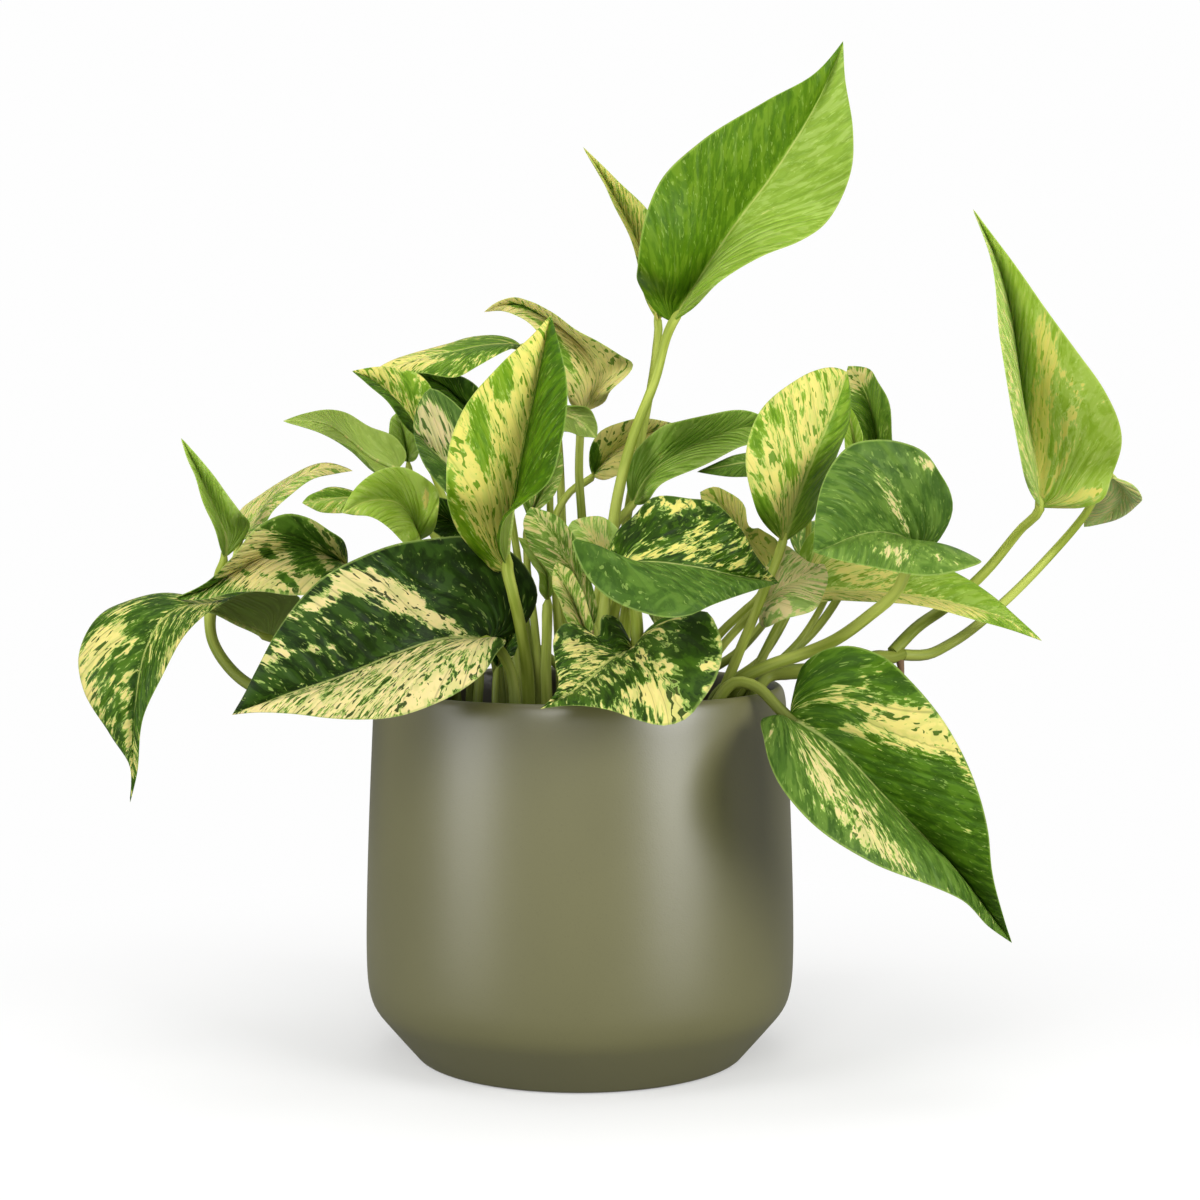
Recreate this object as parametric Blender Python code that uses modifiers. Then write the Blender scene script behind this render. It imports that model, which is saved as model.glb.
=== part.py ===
"""Potted marble queen pothos: a matte ceramic pot filled with soil, with leaves on long stalks
that stand in plain holes in the soil, two of the stalks being short trailing vines.

Metres, +Z up, the origin at the middle of the pot's underside. The leaves are laid out in the
front view. A point (across, down, depth) is where the leaf shows in a front view 1200 units
wide, with the depth in mm behind the pot's axis, and seen() turns it into a point in space.
Where an edge point has no depth, the half width of the blade gives it.
"""

import bpy
import bmesh
import numpy as np

MM = 0.001

# Front view: where the eye stands, the height it looks at, and the scale of the view.
EYE = np.array([7.0, -800.0, 207.0])
AIM_HEIGHT = 159.3
VIEW_SCALE = 2293.0
VIEW_MIDDLE = 600.0

# Pot, as (radius, height) in mm, from the middle of the floor inside, up over the lip and down.
POT_PROFILE = [
    (0, 6), (50, 6), (56, 8), (66, 19), (69.6, 36), (69.4, 60), (68.4, 90), (67, 118),
    (66.9, 125.5), (67.4, 128), (68.4, 129.5), (69.5, 130), (70.5, 129.4), (71.4, 127.6),
    (72, 124), (72.4, 116), (73.6, 90), (74.6, 62), (75, 42), (74.8, 30), (74.2, 24), (72.6, 18.4),
    (68.2, 13), (58.4, 1.6), (57.4, 0.5), (56, 0), (0, 0),
]
POT_STEPS = 44

# Soil: the inside of the pot less a small clearance, with a slightly raised middle.
SOIL_PROFILE = [
    (0, 112.5), (30, 112), (55, 110.8), (66.6, 109), (68.0, 90), (69.0, 60), (69.2, 36),
    (65.6, 19.4), (55.8, 8.5), (49.8, 6.4), (0, 6.4),
]
SOIL_STEPS = 32
SOIL_TOP = 112.0
STALK_END = 96.0
HOLE_CLEARANCE = 0.35
VINE_CLEARANCE = 0.5

# Blades: thickness, rows along the midrib and columns to each side.
BLADE_THICKNESS = 0.7
WIDE_BLADE = 24
ROWS_WIDE = 10
ROWS_NARROW = 8
COLUMNS = 2
MIDRIB_POWER = 1.5
MOST_ARCH = 0.15

# Half outline of a natural blade: share of its length, share of its half width.
OUTLINE = [
    (0, 0), (-0.055, 0.20), (-0.075, 0.45), (-0.02, 0.74), (0.12, 0.94), (0.29, 1.0),
    (0.47, 0.90), (0.64, 0.66), (0.79, 0.36), (0.90, 0.14), (1.0, 0.0),
]

# Stalks and vines: sides of the tube and the longest step along it, in mm.
STALK_STEP = 14.0
VINE_STEP = 6.0

# An edge that leans to the viewer, or away, where the outline leaves it open.
NEAR = -1
FAR = 1

LEAVES = []


def leaf(name, half_width, lean, bow, midrib, left, right, stalk, hole, radii):
    """Notes one leaf: midrib and edges from base to tip, then its stalk down to its hole."""
    LEAVES.append({
        "name": name, "half_width": half_width, "lean": lean, "bow": bow, "midrib": midrib,
        "left": left, "right": right, "stalk": stalk, "hole": hole, "radii": radii,
    })


# Left and right are as seen along the midrib from base to tip, from above the upper face.
# bow is how far each half arches up, in mm. hole is (x, y) in the soil, or None where the stalk
# grows from a vine, and radii are those of the stalk at the blade and at its foot.
leaf("tall", 32, (NEAR, NEAR), (3, 3),
     midrib=[(673, 322, 12), (700, 280, 9), (738, 222, 5), (777, 168, 0), (820, 96, -4), (843, 41, -6)],
     left=[(656, 312), (642, 290), (638, 262), (646, 215), (662, 178), (700, 142), (767, 100),
           (815, 73)],
     right=[(690, 311), (722, 281), (764, 256), (800, 240), (838, 205), (852, 165), (853, 130),
            (845, 75)],
     stalk=[(655, 380, 14), (632, 440, 10), (617, 500, 6), (608, 580, 2)],
     hole=(6, 0), radii=(1.6, 2.6))
leaf("peek", 18, (NEAR, NEAR), (2, 2),
     midrib=[(658, 322, 34), (640, 262, 36), (612, 198, 38), (583, 147, 40)],
     left=[(646, 300), (637, 262), (615, 205), (600, 175)],
     right=[(674, 295), (668, 250), (648, 210), (615, 178)],
     stalk=[(656, 350, 34), (645, 420, 33), (630, 500, 30), (616, 600, 24)],
     hole=(11, 16), radii=(1.4, 2.0))
leaf("right_high", 33, (NEAR, NEAR), (2, 4),
     midrib=[(1040, 507, 0), (1033, 460, -4), (1022, 400, -6), (1012, 330, -5), (998, 270, 0),
             (973, 209, 5)],
     left=[(1030, 492), (1020, 455), (1010, 410), (1001, 340), (996, 290), (983, 235)],
     right=[(1065, 508), (1085, 507), (1102, 500), (1112, 475), (1122, 440), (1104, 390),
            (1078, 352), (1040, 300), (1000, 245)],
     stalk=[(1020, 530, 6), (985, 572, 14), (950, 604, 14), (916, 628, 6), (893, 652, 0)],
     hole=None, radii=(1.5, 2.3))
leaf("right_under", 16, (FAR, FAR), (2, 2),
     midrib=[(1110, 476, 18), (1124, 492, 38), (1112, 510, 52), (1084, 527, 60)],
     left=[(1128, 482, 22), (1142, 498, 36), (1135, 508, 50), (1110, 521, 60)],
     right=[(1098, 480, 24), (1090, 500, 40), (1084, 515, 54)],
     stalk=[(1085, 515, 18), (1050, 556, 20), (1000, 606, 18), (952, 643, 10), (925, 655, 3),
            (904, 655, 0)],
     hole=None, radii=(1.4, 2.1))
leaf("centre", 30, (NEAR, NEAR), (3, 3),
     midrib=[(507, 566, -40), (513, 520, -47), (521, 470, -49), (530, 420, -46), (541, 365, -40),
             (551, 315, -31)],
     left=[(498, 572, -38), (480, 558, -40), (462, 538, -47), (450, 510, -58), (446, 480),
           (448, 455), (463, 410), (500, 365), (535, 332)],
     right=[(500, 540), (512, 510), (530, 498), (547, 485), (563, 440), (567, 405), (565, 370),
            (558, 340)],
     stalk=[(512, 590, -42.5), (519, 620, -40.6), (526, 660, -36)],
     hole=(-17, -30), radii=(1.8, 2.6))
leaf("arching", 21, (NEAR, NEAR), (2, 2),
     midrib=[(583, 412, 28), (594, 389, 28), (596, 370, 28), (587, 350, 31), (571, 332, 34),
             (545, 316, 36), (515, 303, 38), (484, 312, 34)],
     left=[(571, 405), (566, 390), (560, 372), (550, 352), (537, 332), (520, 318), (500, 311)],
     right=[(600, 405), (612, 389), (633, 365), (621, 355), (600, 341), (575, 329), (550, 312),
            (530, 301), (512, 297), (495, 303)],
     stalk=[(580, 440, 24), (579, 470, 22), (582, 520, 20), (584, 600, 20)],
     hole=(1, 22), radii=(1.4, 2.0))
leaf("upper_left", 18, (NEAR, FAR), (2, 2),
     midrib=[(522, 347, 44), (490, 347, 40), (463, 350, 36), (430, 357, 31), (400, 365, 26),
             (372, 372, 24)],
     left=[(510, 350), (476, 366), (458, 377), (418, 373), (390, 374)],
     right=[(508, 338), (490, 335), (470, 338), (450, 345), (410, 356), (380, 367)],
     stalk=[(545, 362, 50), (556, 420, 55), (562, 520, 54), (564, 620, 47)],
     hole=(-6, 42), radii=(1.3, 1.9))
leaf("beak", 17, (NEAR, FAR), (2, 2),
     midrib=[(420, 436, 17), (408, 418, 15), (392, 400, 13), (372, 382, 11), (352, 371, 10)],
     left=[(412, 434), (395, 412), (370, 386), (358, 376)],
     right=[(434, 425, 14), (432, 390, 15), (418, 373, 15), (395, 368, 13), (375, 367, 10)],
     stalk=[(432, 470, 26), (470, 560, 28), (496, 640, 28)],
     hole=(-27, 28), radii=(1.2, 1.8))
leaf("dark_back", 15, (NEAR, NEAR), (2, 2),
     midrib=[(490, 430, 40), (470, 412, 42), (446, 388, 42), (415, 373, 40)],
     left=[(470, 430), (445, 405), (428, 385)],
     right=[(492, 405), (478, 387), (460, 376), (440, 371)],
     stalk=[(502, 470, 42), (518, 560, 40), (528, 640, 38)],
     hole=(-17, 34), radii=(1.2, 1.8))
leaf("marbled_back", 24, (NEAR, NEAR), (2, 2),
     midrib=[(482, 505, 2), (462, 482, -4), (446, 466, -6), (420, 441, -5), (414, 430, 0)],
     left=[(475, 520), (448, 497), (430, 475), (419, 452)],
     right=[(495, 480), (482, 430), (462, 410), (446, 396), (430, 388), (420, 400), (415, 415)],
     stalk=[(495, 540, 4), (508, 600, 2), (516, 660, 0)],
     hole=(-21, -4), radii=(1.4, 2.0))
leaf("olive", 18, (FAR, NEAR), (2, 2),
     midrib=[(396, 470, 44), (375, 462, 42), (356, 446, 38), (330, 424, 32), (308, 420, 30),
             (283, 421, 28)],
     left=[(406, 458), (398, 440), (370, 426), (350, 414), (330, 410), (305, 413)],
     right=[(385, 476), (374, 470), (350, 447), (330, 436), (305, 428)],
     stalk=[(420, 510, 48), (458, 580, 46), (490, 640, 44)],
     hole=(-30, 44), radii=(1.4, 2.0))
leaf("olive_back", 11, (NEAR, NEAR), (2, 2),
     midrib=[(408, 462, 67), (406, 440, 66), (398, 412, 62)],
     left=[(392, 450), (389, 430), (392, 417)],
     right=[(418, 455), (415, 434), (406, 418)],
     stalk=[(425, 510, 65), (472, 590, 60), (505, 650, 55)],
     hole=(-18, 52), radii=(1.2, 1.8))
leaf("bright", 22, (NEAR, NEAR), (2, 2),
     midrib=[(412, 542, 4), (410, 520, -6), (395, 503, -14), (368, 502, -20), (342, 513, -24)],
     left=[(405, 543), (390, 529), (370, 517), (352, 515)],
     right=[(423, 538), (438, 508), (438, 490), (424, 476), (404, 467), (380, 470), (356, 487)],
     stalk=[(425, 565, 8), (452, 610, 8), (478, 660, 4)],
     hole=(-36, 0), radii=(1.4, 2.0))
leaf("under_bright", 14, (NEAR, NEAR), (2, 2),
     midrib=[(470, 545, 20), (450, 520, 14), (425, 510, 10), (405, 512, 8)],
     left=[(455, 545), (430, 530), (412, 522)],
     right=[(475, 520), (450, 500), (420, 500)],
     stalk=[(480, 580, 20), (494, 640, 18)],
     hole=(-28, 16), radii=(1.2, 1.8))
leaf("small_tip", 9, (NEAR, FAR), (2, 2),
     midrib=[(362, 500, 16), (335, 500, 12), (302, 503, 8)],
     left=[(345, 512), (320, 512)],
     right=[(350, 491), (325, 489)],
     stalk=[(385, 515, 20), (425, 570, 24), (468, 640, 26)],
     hole=(-40, 24), radii=(1.0, 1.6))
leaf("spear", 14, (NEAR, NEAR), (2, 2),
     midrib=[(224, 558, 14), (217, 530, 15), (207, 495, 16), (194, 465, 18), (181, 438, 20)],
     left=[(220, 548), (211, 520), (197, 485), (188, 460)],
     right=[(234, 550), (250, 529), (240, 510), (220, 485), (200, 458)],
     stalk=[(219, 574, 16), (217, 585, 18)],
     hole=None, radii=(1.4, 1.7))
leaf("wing", 15, (FAR, NEAR), (2, 2),
     midrib=[(240, 540, 28), (262, 510, 28), (296, 482, 26), (325, 469, 24), (353, 471, 22)],
     left=[(238, 516), (255, 498), (300, 474), (325, 463)],
     right=[(264, 528), (275, 510), (310, 481), (335, 474)],
     stalk=[(236, 560, 27), (226, 580, 22), (212, 602, 19)],
     hole=None, radii=(1.2, 1.6))
leaf("shield", 26, (NEAR, NEAR), (3, 3),
     midrib=[(347, 567, -4), (315, 552, -14), (275, 552, -22), (240, 568, -26), (205, 588, -28.6),
             (172, 599, -29.6)],
     left=[(348, 580), (325, 592), (290, 596), (260, 592), (235, 592), (200, 600)],
     right=[(347, 548), (330, 530), (310, 518), (290, 514), (260, 526), (232, 556), (205, 583)],
     stalk=[(375, 580, 2), (415, 615, 8), (445, 650, 10)],
     hole=(-44, 12), radii=(1.4, 2.1))
leaf("hanging", 31, (NEAR, FAR), (2, 3),
     midrib=[(270, 637, 0), (241, 626, -10), (213, 611, -22), (190, 606, -32), (165, 620, -41),
             (149, 648, -48), (138, 700, -54), (134, 760, -56), (130, 803, -54)],
     left=[(290, 625, -8), (300, 598, -14), (263, 590, -20), (241, 593, -26), (227, 601, -32),
           (213, 610, -38), (184, 637, -50), (163, 674, -58), (144, 714, -60), (137, 775, -57)],
     right=[(285, 615, 10), (262, 592, 14), (235, 589, 10), (205, 595, 0), (170, 597, -10),
            (134, 599, -24), (100, 614, -36), (79, 660, -46), (84, 690, -50), (110, 735, -52),
            (132, 772, -54)],
     stalk=[(300, 640, 3), (345, 643, 5), (395, 648, 2), (430, 668, -4)],
     hole=(-48, -6), radii=(1.6, 2.3))
leaf("big_left", 33, (NEAR, FAR), (3, 4),
     midrib=[(488, 641, -46), (455, 641, -54), (430, 645, -60), (395, 657, -66), (340, 680, -74),
             (280, 698, -81), (232, 715, -84)],
     left=[(499, 640), (496, 654), (478, 678), (450, 698), (430, 707), (400, 716), (360, 719),
           (330, 718), (290, 714), (250, 713)],
     right=[(512, 634, -40), (530, 618, -31), (537, 592, -25), (526, 568, -23), (505, 548, -27),
            (470, 536, -38), (430, 538, -49), (370, 553), (320, 580), (280, 626), (255, 672),
            (240, 702)],
     stalk=[(498, 648, -42), (508, 664, -40)],
     hole=(-21, -42), radii=(1.7, 2.3))
leaf("front", 28, (NEAR, NEAR), (3, 1),
     midrib=[(636, 653, -54), (610, 660, -66), (590, 676, -76), (570, 692, -86), (540, 709, -94)],
     left=[(650, 636, -52), (662, 618, -54), (686, 613, -58), (704, 610, -62), (720, 635, -70),
           (720, 668, -82), (702, 700, -94), (686, 718, -98), (666, 725, -100), (640, 721, -100),
           (614, 712, -98), (590, 707, -98), (562, 706, -96)],
     right=[(628, 638, -50), (618, 620, -50), (602, 616, -56), (598, 636, -62), (582, 625, -60),
            (566, 623, -62), (554, 638, -68), (555, 662, -76), (558, 686, -86), (550, 700, -92)],
     stalk=[(637, 630, -52), (635, 608, -46), (630, 600, -38), (625, 625, -30), (622, 665, -26)],
     hole=(14, -24), radii=(2.1, 2.4))
leaf("folded", 27, (FAR, NEAR), (3, 3),
     midrib=[(622, 568, -72), (640, 565, -72), (660, 565, -71), (690, 568, -68), (730, 576, -60),
             (779, 583, -48)],
     left=[(612, 560, -68), (610, 545, -62), (617, 530, -59), (634, 516), (650, 500), (688, 498),
           (716, 503), (738, 526), (755, 555)],
     right=[(604, 556, -76), (588, 546, -80), (572, 540, -84), (578, 560, -87), (590, 580, -89),
            (610, 598, -89), (640, 612, -88), (666, 618, -86), (688, 616, -83), (710, 606, -78),
            (735, 597, -69)],
     stalk=[(624, 580, -60), (617, 602, -48), (609, 640, -42)],
     hole=(8, -37), radii=(1.5, 2.1))
leaf("mottled", 22, (FAR, NEAR), (2, 2),
     midrib=[(766, 576, -16), (752, 550, -20), (738, 526, -24), (718, 503, -26), (700, 492, -26)],
     left=[(750, 575), (730, 555), (712, 525), (702, 505)],
     right=[(779, 562, -20), (780, 545, -22), (762, 530, -28), (748, 522), (744, 506), (728, 492),
            (712, 487)],
     stalk=[(760, 596, -14), (745, 610, -12), (718, 636, -9)],
     hole=(36, -6), radii=(1.3, 1.9))
leaf("round_pale", 20, (NEAR, NEAR), (2, 2),
     midrib=[(762, 604, -26), (780, 591, -30), (800, 578, -33), (824, 564, -33)],
     left=[(762, 585, -29), (770, 560, -29), (783, 545, -29), (800, 556, -32), (812, 563, -34)],
     right=[(760, 618), (785, 620), (810, 612), (823, 595), (828, 577)],
     stalk=[(752, 614, -25), (738, 628, -24), (716, 655, -22)],
     hole=(40, -18), radii=(1.3, 1.9))
leaf("cream_right", 27, (NEAR, FAR), (3, 2),
     midrib=[(783, 541, -34), (798, 500, -40), (815, 458, -42), (832, 415, -38), (847, 372, -26)],
     left=[(770, 530), (754, 503), (746, 465), (755, 420), (770, 400), (790, 384), (810, 372),
           (830, 367)],
     right=[(792, 536), (812, 520), (822, 490), (838, 455), (848, 425), (850, 395)],
     stalk=[(776, 562, -37), (765, 588, -38), (755, 614, -37), (738, 655, -32)],
     hole=(47, -26), radii=(1.4, 2.1))
leaf("round_dark", 20, (NEAR, NEAR), (2, 2),
     midrib=[(880, 475, 26), (876, 430, 26), (866, 392, 27), (848, 366, 29)],
     left=[(862, 470), (850, 450), (845, 420), (843, 390)],
     right=[(888, 468), (893, 440), (891, 412), (880, 385), (864, 367)],
     stalk=[(873, 520, 26), (853, 570, 24), (815, 630, 18), (780, 662, 13)],
     hole=(54, 12), radii=(1.3, 1.9))
leaf("slip", 6, (NEAR, NEAR), (2, 2),
     midrib=[(856, 475, 0), (854, 438, 0), (846, 401, 2)],
     left=[(846, 450), (843, 420)],
     right=[(863, 445), (857, 418)],
     stalk=[(854, 515, 8), (838, 570, 15), (800, 640, 9), (768, 672, 4)],
     hole=(56, 3), radii=(1.0, 1.5))
leaf("plain", 22, (NEAR, NEAR), (2, 2),
     midrib=[(633, 504, 20), (650, 478, 18), (672, 458, 17), (705, 440, 18), (745, 427, 22),
             (778, 430, 28)],
     left=[(627, 487, 17), (631, 458, 15), (650, 435, 12), (680, 420), (710, 414), (758, 414)],
     right=[(640, 505), (665, 483), (700, 466), (740, 448), (765, 440)],
     stalk=[(619, 520, 18), (605, 560, 15), (594, 620, 11)],
     hole=(-1, 8), radii=(1.4, 2.0))
leaf("cream_small", 16, (NEAR, NEAR), (2, 2),
     midrib=[(593, 476, 50), (612, 452, 49), (640, 435, 49), (680, 425, 50)],
     left=[(589, 462), (591, 446), (600, 431), (630, 420)],
     right=[(605, 480), (628, 470), (655, 452)],
     stalk=[(572, 490, 48), (556, 515, 44), (556, 580, 36), (566, 640, 32)],
     hole=(-5, 30), radii=(1.3, 1.9))
leaf("sliver", 8, (NEAR, FAR), (2, 2),
     midrib=[(785, 462, 0), (745, 464, 2), (697, 472, 4)],
     left=[(770, 474), (735, 477)],
     right=[(770, 452), (735, 457)],
     stalk=[(800, 480, 6), (808, 540, 18), (790, 610, 16), (764, 655, 13)],
     hole=(46, 10), radii=(1.0, 1.5))
leaf("little_fold", 9, (NEAR, NEAR), (2, 2),
     midrib=[(556, 412, 14), (575, 418, 12), (596, 438, 6)],
     left=[(558, 430), (575, 434)],
     right=[(566, 405), (590, 411), (597, 422)],
     stalk=[(552, 440, 13), (550, 500, 12), (556, 600, 12)],
     hole=(-7, 11), radii=(1.1, 1.6))
leaf("disc", 31, (NEAR, FAR), (3, 3),
     midrib=[(914, 548, -24), (897, 539, -36), (872, 535, -50), (847, 540, -62), (830, 547, -70),
             (813, 552, -76)],
     left=[(935, 552, -30), (981, 562, -44), (962, 570, -56), (930, 575, -62), (900, 573, -70),
           (860, 565, -78), (835, 559, -80)],
     right=[(928, 549), (945, 530), (953, 505), (950, 490), (942, 475), (925, 452), (900, 442),
            (875, 440), (850, 445), (835, 460), (822, 485), (816, 510), (814, 535)],
     stalk=[(908, 566, -27), (896, 592, -29), (870, 615, -29), (835, 640, -26), (800, 655, -22),
            (768, 666, -24), (740, 680, -24)],
     hole=(50, -16), radii=(1.9, 2.5))
leaf("long_tip", 24, (FAR, NEAR), (2, 2),
     midrib=[(808, 592, 0), (850, 593, -4), (905, 597, -7), (950, 604, -7), (1000, 617, -3),
             (1042, 641, 4)],
     left=[(797, 575, 4), (800, 550, 8), (815, 530, 10), (850, 530, 8), (900, 548, 5),
           (955, 573, 3), (1000, 602, 2), (1024, 624, 3)],
     right=[(812, 602, -8), (840, 600, -18), (880, 602, -22), (950, 613, -20), (1010, 630, -6)],
     stalk=[(790, 606, -5), (776, 630, -8), (762, 658, -9)],
     hole=(54, -7), radii=(1.4, 2.0))
leaf("low_right", 31, (NEAR, NEAR), (4, 4),
     midrib=[(787, 716, -50), (812, 732, -56), (840, 753, -60), (880, 795, -62), (940, 855, -60),
             (980, 900, -56), (1012, 943, -50)],
     left=[(797, 712), (796, 690), (803, 665), (820, 652), (845, 646), (880, 655), (912, 682),
           (940, 715), (970, 770), (988, 830), (992, 870), (1003, 915)],
     right=[(780, 720), (768, 718), (764, 740), (780, 785), (815, 827), (870, 862), (930, 885),
            (958, 898), (990, 928)],
     stalk=[(773, 702, -47), (757, 687, -43), (737, 682, -40)],
     hole=(44, -38), radii=(1.8, 2.3))
leaf("inner_marbled", 12, (NEAR, NEAR), (2, 2),
     midrib=[(593, 628, -30), (586, 600, -32), (571, 565, -34), (550, 532, -34), (531, 507, -30)],
     left=[(576, 615), (553, 578), (528, 543), (523, 522)],
     right=[(597, 605), (589, 570), (577, 540), (558, 517)],
     stalk=[(596, 650, -30)],
     hole=(4, -30), radii=(1.3, 1.8))
leaf("inner_cup", 10, (NEAR, NEAR), (2, 2),
     midrib=[(590, 645, -50), (577, 610, -50), (565, 585, -48), (556, 562, -44)],
     left=[(572, 628), (558, 600), (552, 578)],
     right=[(594, 625), (582, 592), (568, 568)],
     stalk=[(592, 664, -47)],
     hole=(2, -46), radii=(1.2, 1.7))
leaf("inner_light", 15, (NEAR, NEAR), (2, 2),
     midrib=[(612, 592, -14), (604, 562, -14), (592, 538, -12), (572, 521, -8)],
     left=[(592, 580), (576, 555), (565, 535)],
     right=[(622, 570), (623, 540), (610, 521), (592, 516)],
     stalk=[(613, 620, -13), (612, 660, -12)],
     hole=(13, -9), radii=(1.3, 1.8))
leaf("ribbon", 5, (NEAR, NEAR), (2, 2),
     midrib=[(548, 600, -24), (549, 580, -26), (537, 556, -28), (518, 537, -28)],
     left=[(540, 592), (538, 575), (528, 558)],
     right=[(554, 590), (552, 566), (535, 544)],
     stalk=[(547, 630, -24), (546, 665, -24)],
     hole=(-11, -22), radii=(1.6, 2.3))
leaf("back_sliver", 9, (NEAR, NEAR), (2, 2),
     midrib=[(530, 520, 6), (545, 490, 8), (562, 452, 10)],
     left=[(522, 500), (540, 465)],
     right=[(540, 510), (557, 490), (563, 470)],
     stalk=[(527, 560, 5), (534, 620, 4)],
     hole=(-14, 4), radii=(1.2, 1.8))
leaf("low_inner", 9, (NEAR, NEAR), (1, 1),
     midrib=[(498, 668, -10), (507, 645, -10), (524, 619, -12)],
     left=[(490, 654, -13), (502, 630, -14)],
     right=[(509, 662, -14), (521, 640, -15)],
     stalk=[(496, 685, -12)],
     hole=(-29, -14), radii=(1.2, 1.6))
leaf("back_fan", 20, (NEAR, NEAR), (2, 2),
     midrib=[(470, 520, 60), (455, 510, 78), (440, 520, 96), (430, 545, 108)],
     left=[(480, 500, 72), (475, 490, 90), (455, 505, 104)],
     right=[(455, 545, 70), (432, 545, 86), (425, 550, 100)],
     stalk=[(485, 570, 66), (520, 630, 64)],
     hole=(-3, 58), radii=(1.3, 2.0))
leaf("back_low", 20, (NEAR, NEAR), (2, 2),
     midrib=[(620, 600, 66), (640, 585, 84), (650, 600, 104), (655, 625, 118)],
     left=[(612, 585, 80), (622, 575, 100), (640, 600, 114)],
     right=[(650, 590, 72), (670, 590, 92), (670, 612, 110)],
     stalk=[(606, 640, 56)],
     hole=(10, 50), radii=(1.3, 2.0))
leaf("back_right", 20, (NEAR, NEAR), (2, 2),
     midrib=[(800, 560, 40), (830, 540, 58), (850, 545, 78), (858, 570, 92)],
     left=[(790, 535, 54), (815, 520, 72), (845, 535, 88)],
     right=[(825, 575, 50), (855, 570, 68), (868, 575, 84)],
     stalk=[(780, 600, 34), (740, 650, 30)],
     hole=(36, 28), radii=(1.3, 2.0))
leaf("back_left", 20, (NEAR, NEAR), (2, 2),
     midrib=[(400, 580, 44), (370, 572, 62), (345, 590, 82), (335, 620, 96)],
     left=[(385, 600, 56), (355, 605, 76), (340, 618, 90)],
     right=[(395, 560, 58), (365, 560, 78), (340, 590, 94)],
     stalk=[(430, 610, 38), (470, 650, 36)],
     hole=(-38, 34), radii=(1.3, 2.0))
leaf("back_small", 15, (NEAR, NEAR), (2, 2),
     midrib=[(560, 580, 60), (560, 560, 76), (565, 560, 92), (570, 580, 104)],
     left=[(545, 575, 72), (545, 565, 90), (558, 572, 100)],
     right=[(578, 578, 72), (582, 565, 90), (578, 575, 100)],
     stalk=[(572, 620, 52)],
     hole=(6, 38), radii=(1.2, 1.8))

# Vines: path in the front view, hole, radii at the growing end and at the foot, and the places
# of the swollen nodes as shares of the length. The right one has a stub of an aerial root.
VINES = {
    "vine_right": {
        "path": [(906, 653, 0), (893, 657, 0), (878, 657, 0), (845, 664, -2), (800, 671, -4),
                 (768, 676, -4)],
        "hole": (60, -14), "radii": (2.0, 2.7), "nodes": (0.09, 0.46),
        "carries": ("right_high", "right_under"),
    },
    "vine_left": {
        "path": [(217, 582, 18), (211, 606, 19), (212, 638, 19), (228, 666, 17), (252, 686, 14),
                 (300, 692, 10), (350, 672, 6), (395, 660, 4), (428, 672, 4)],
        "hole": (-52, 6), "radii": (1.9, 2.6), "nodes": (0.06, 0.5),
        "carries": ("spear", "wing"),
    },
}
ROOT_STUB = [(899, 655, 0), (901, 668, 0), (902, 678, 0)]
ROOT_STUB_RADII = (1.7, 0.9)


def clear_scene():
    """Removes what the startup scene holds."""
    for item in list(bpy.data.objects):
        bpy.data.objects.remove(item, do_unlink=True)


def make_material(name, colour, roughness):
    """One plain Principled material, colour as linear red, green and blue."""
    material = bpy.data.materials.new(name)
    material.use_nodes = True
    shader = material.node_tree.nodes["Principled BSDF"]
    shader.inputs["Base Color"].default_value = (*colour, 1.0)
    shader.inputs["Roughness"].default_value = roughness
    shader.inputs["Metallic"].default_value = 0.0
    material.diffuse_color = (*colour, 1.0)
    return material


def unit(vectors):
    """Vectors of length one."""
    vectors = np.asarray(vectors, float)
    length = np.linalg.norm(vectors, axis=-1, keepdims=True)
    return vectors / np.maximum(length, 1e-9)


def view_axes():
    """The view's forward and up directions."""
    pitch = np.arctan2(AIM_HEIGHT - EYE[2], -EYE[1])
    forward = np.array([0.0, np.cos(pitch), np.sin(pitch)])
    upward = np.array([0.0, -np.sin(pitch), np.cos(pitch)])
    return forward, upward


def seen(across, down, depth):
    """The point in mm that shows at (across, down) and lies this deep behind the pot's axis."""
    forward, upward = view_axes()
    right = np.array([1.0, 0.0, 0.0])
    ray = forward + right * (across - VIEW_MIDDLE) / VIEW_SCALE
    ray = ray - upward * (down - VIEW_MIDDLE) / VIEW_SCALE
    return EYE + ray * (depth - EYE[1]) / ray[1]


def seen_all(points):
    """The points in space of a list of (across, down, depth)."""
    return np.array([seen(*point) for point in points])


def shares_along(points):
    """How far along the polyline each point lies, as a share of its length."""
    steps = np.linalg.norm(np.diff(points, axis=0), axis=1)
    far = np.concatenate([[0.0], np.cumsum(steps)])
    return far / far[-1]


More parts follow.
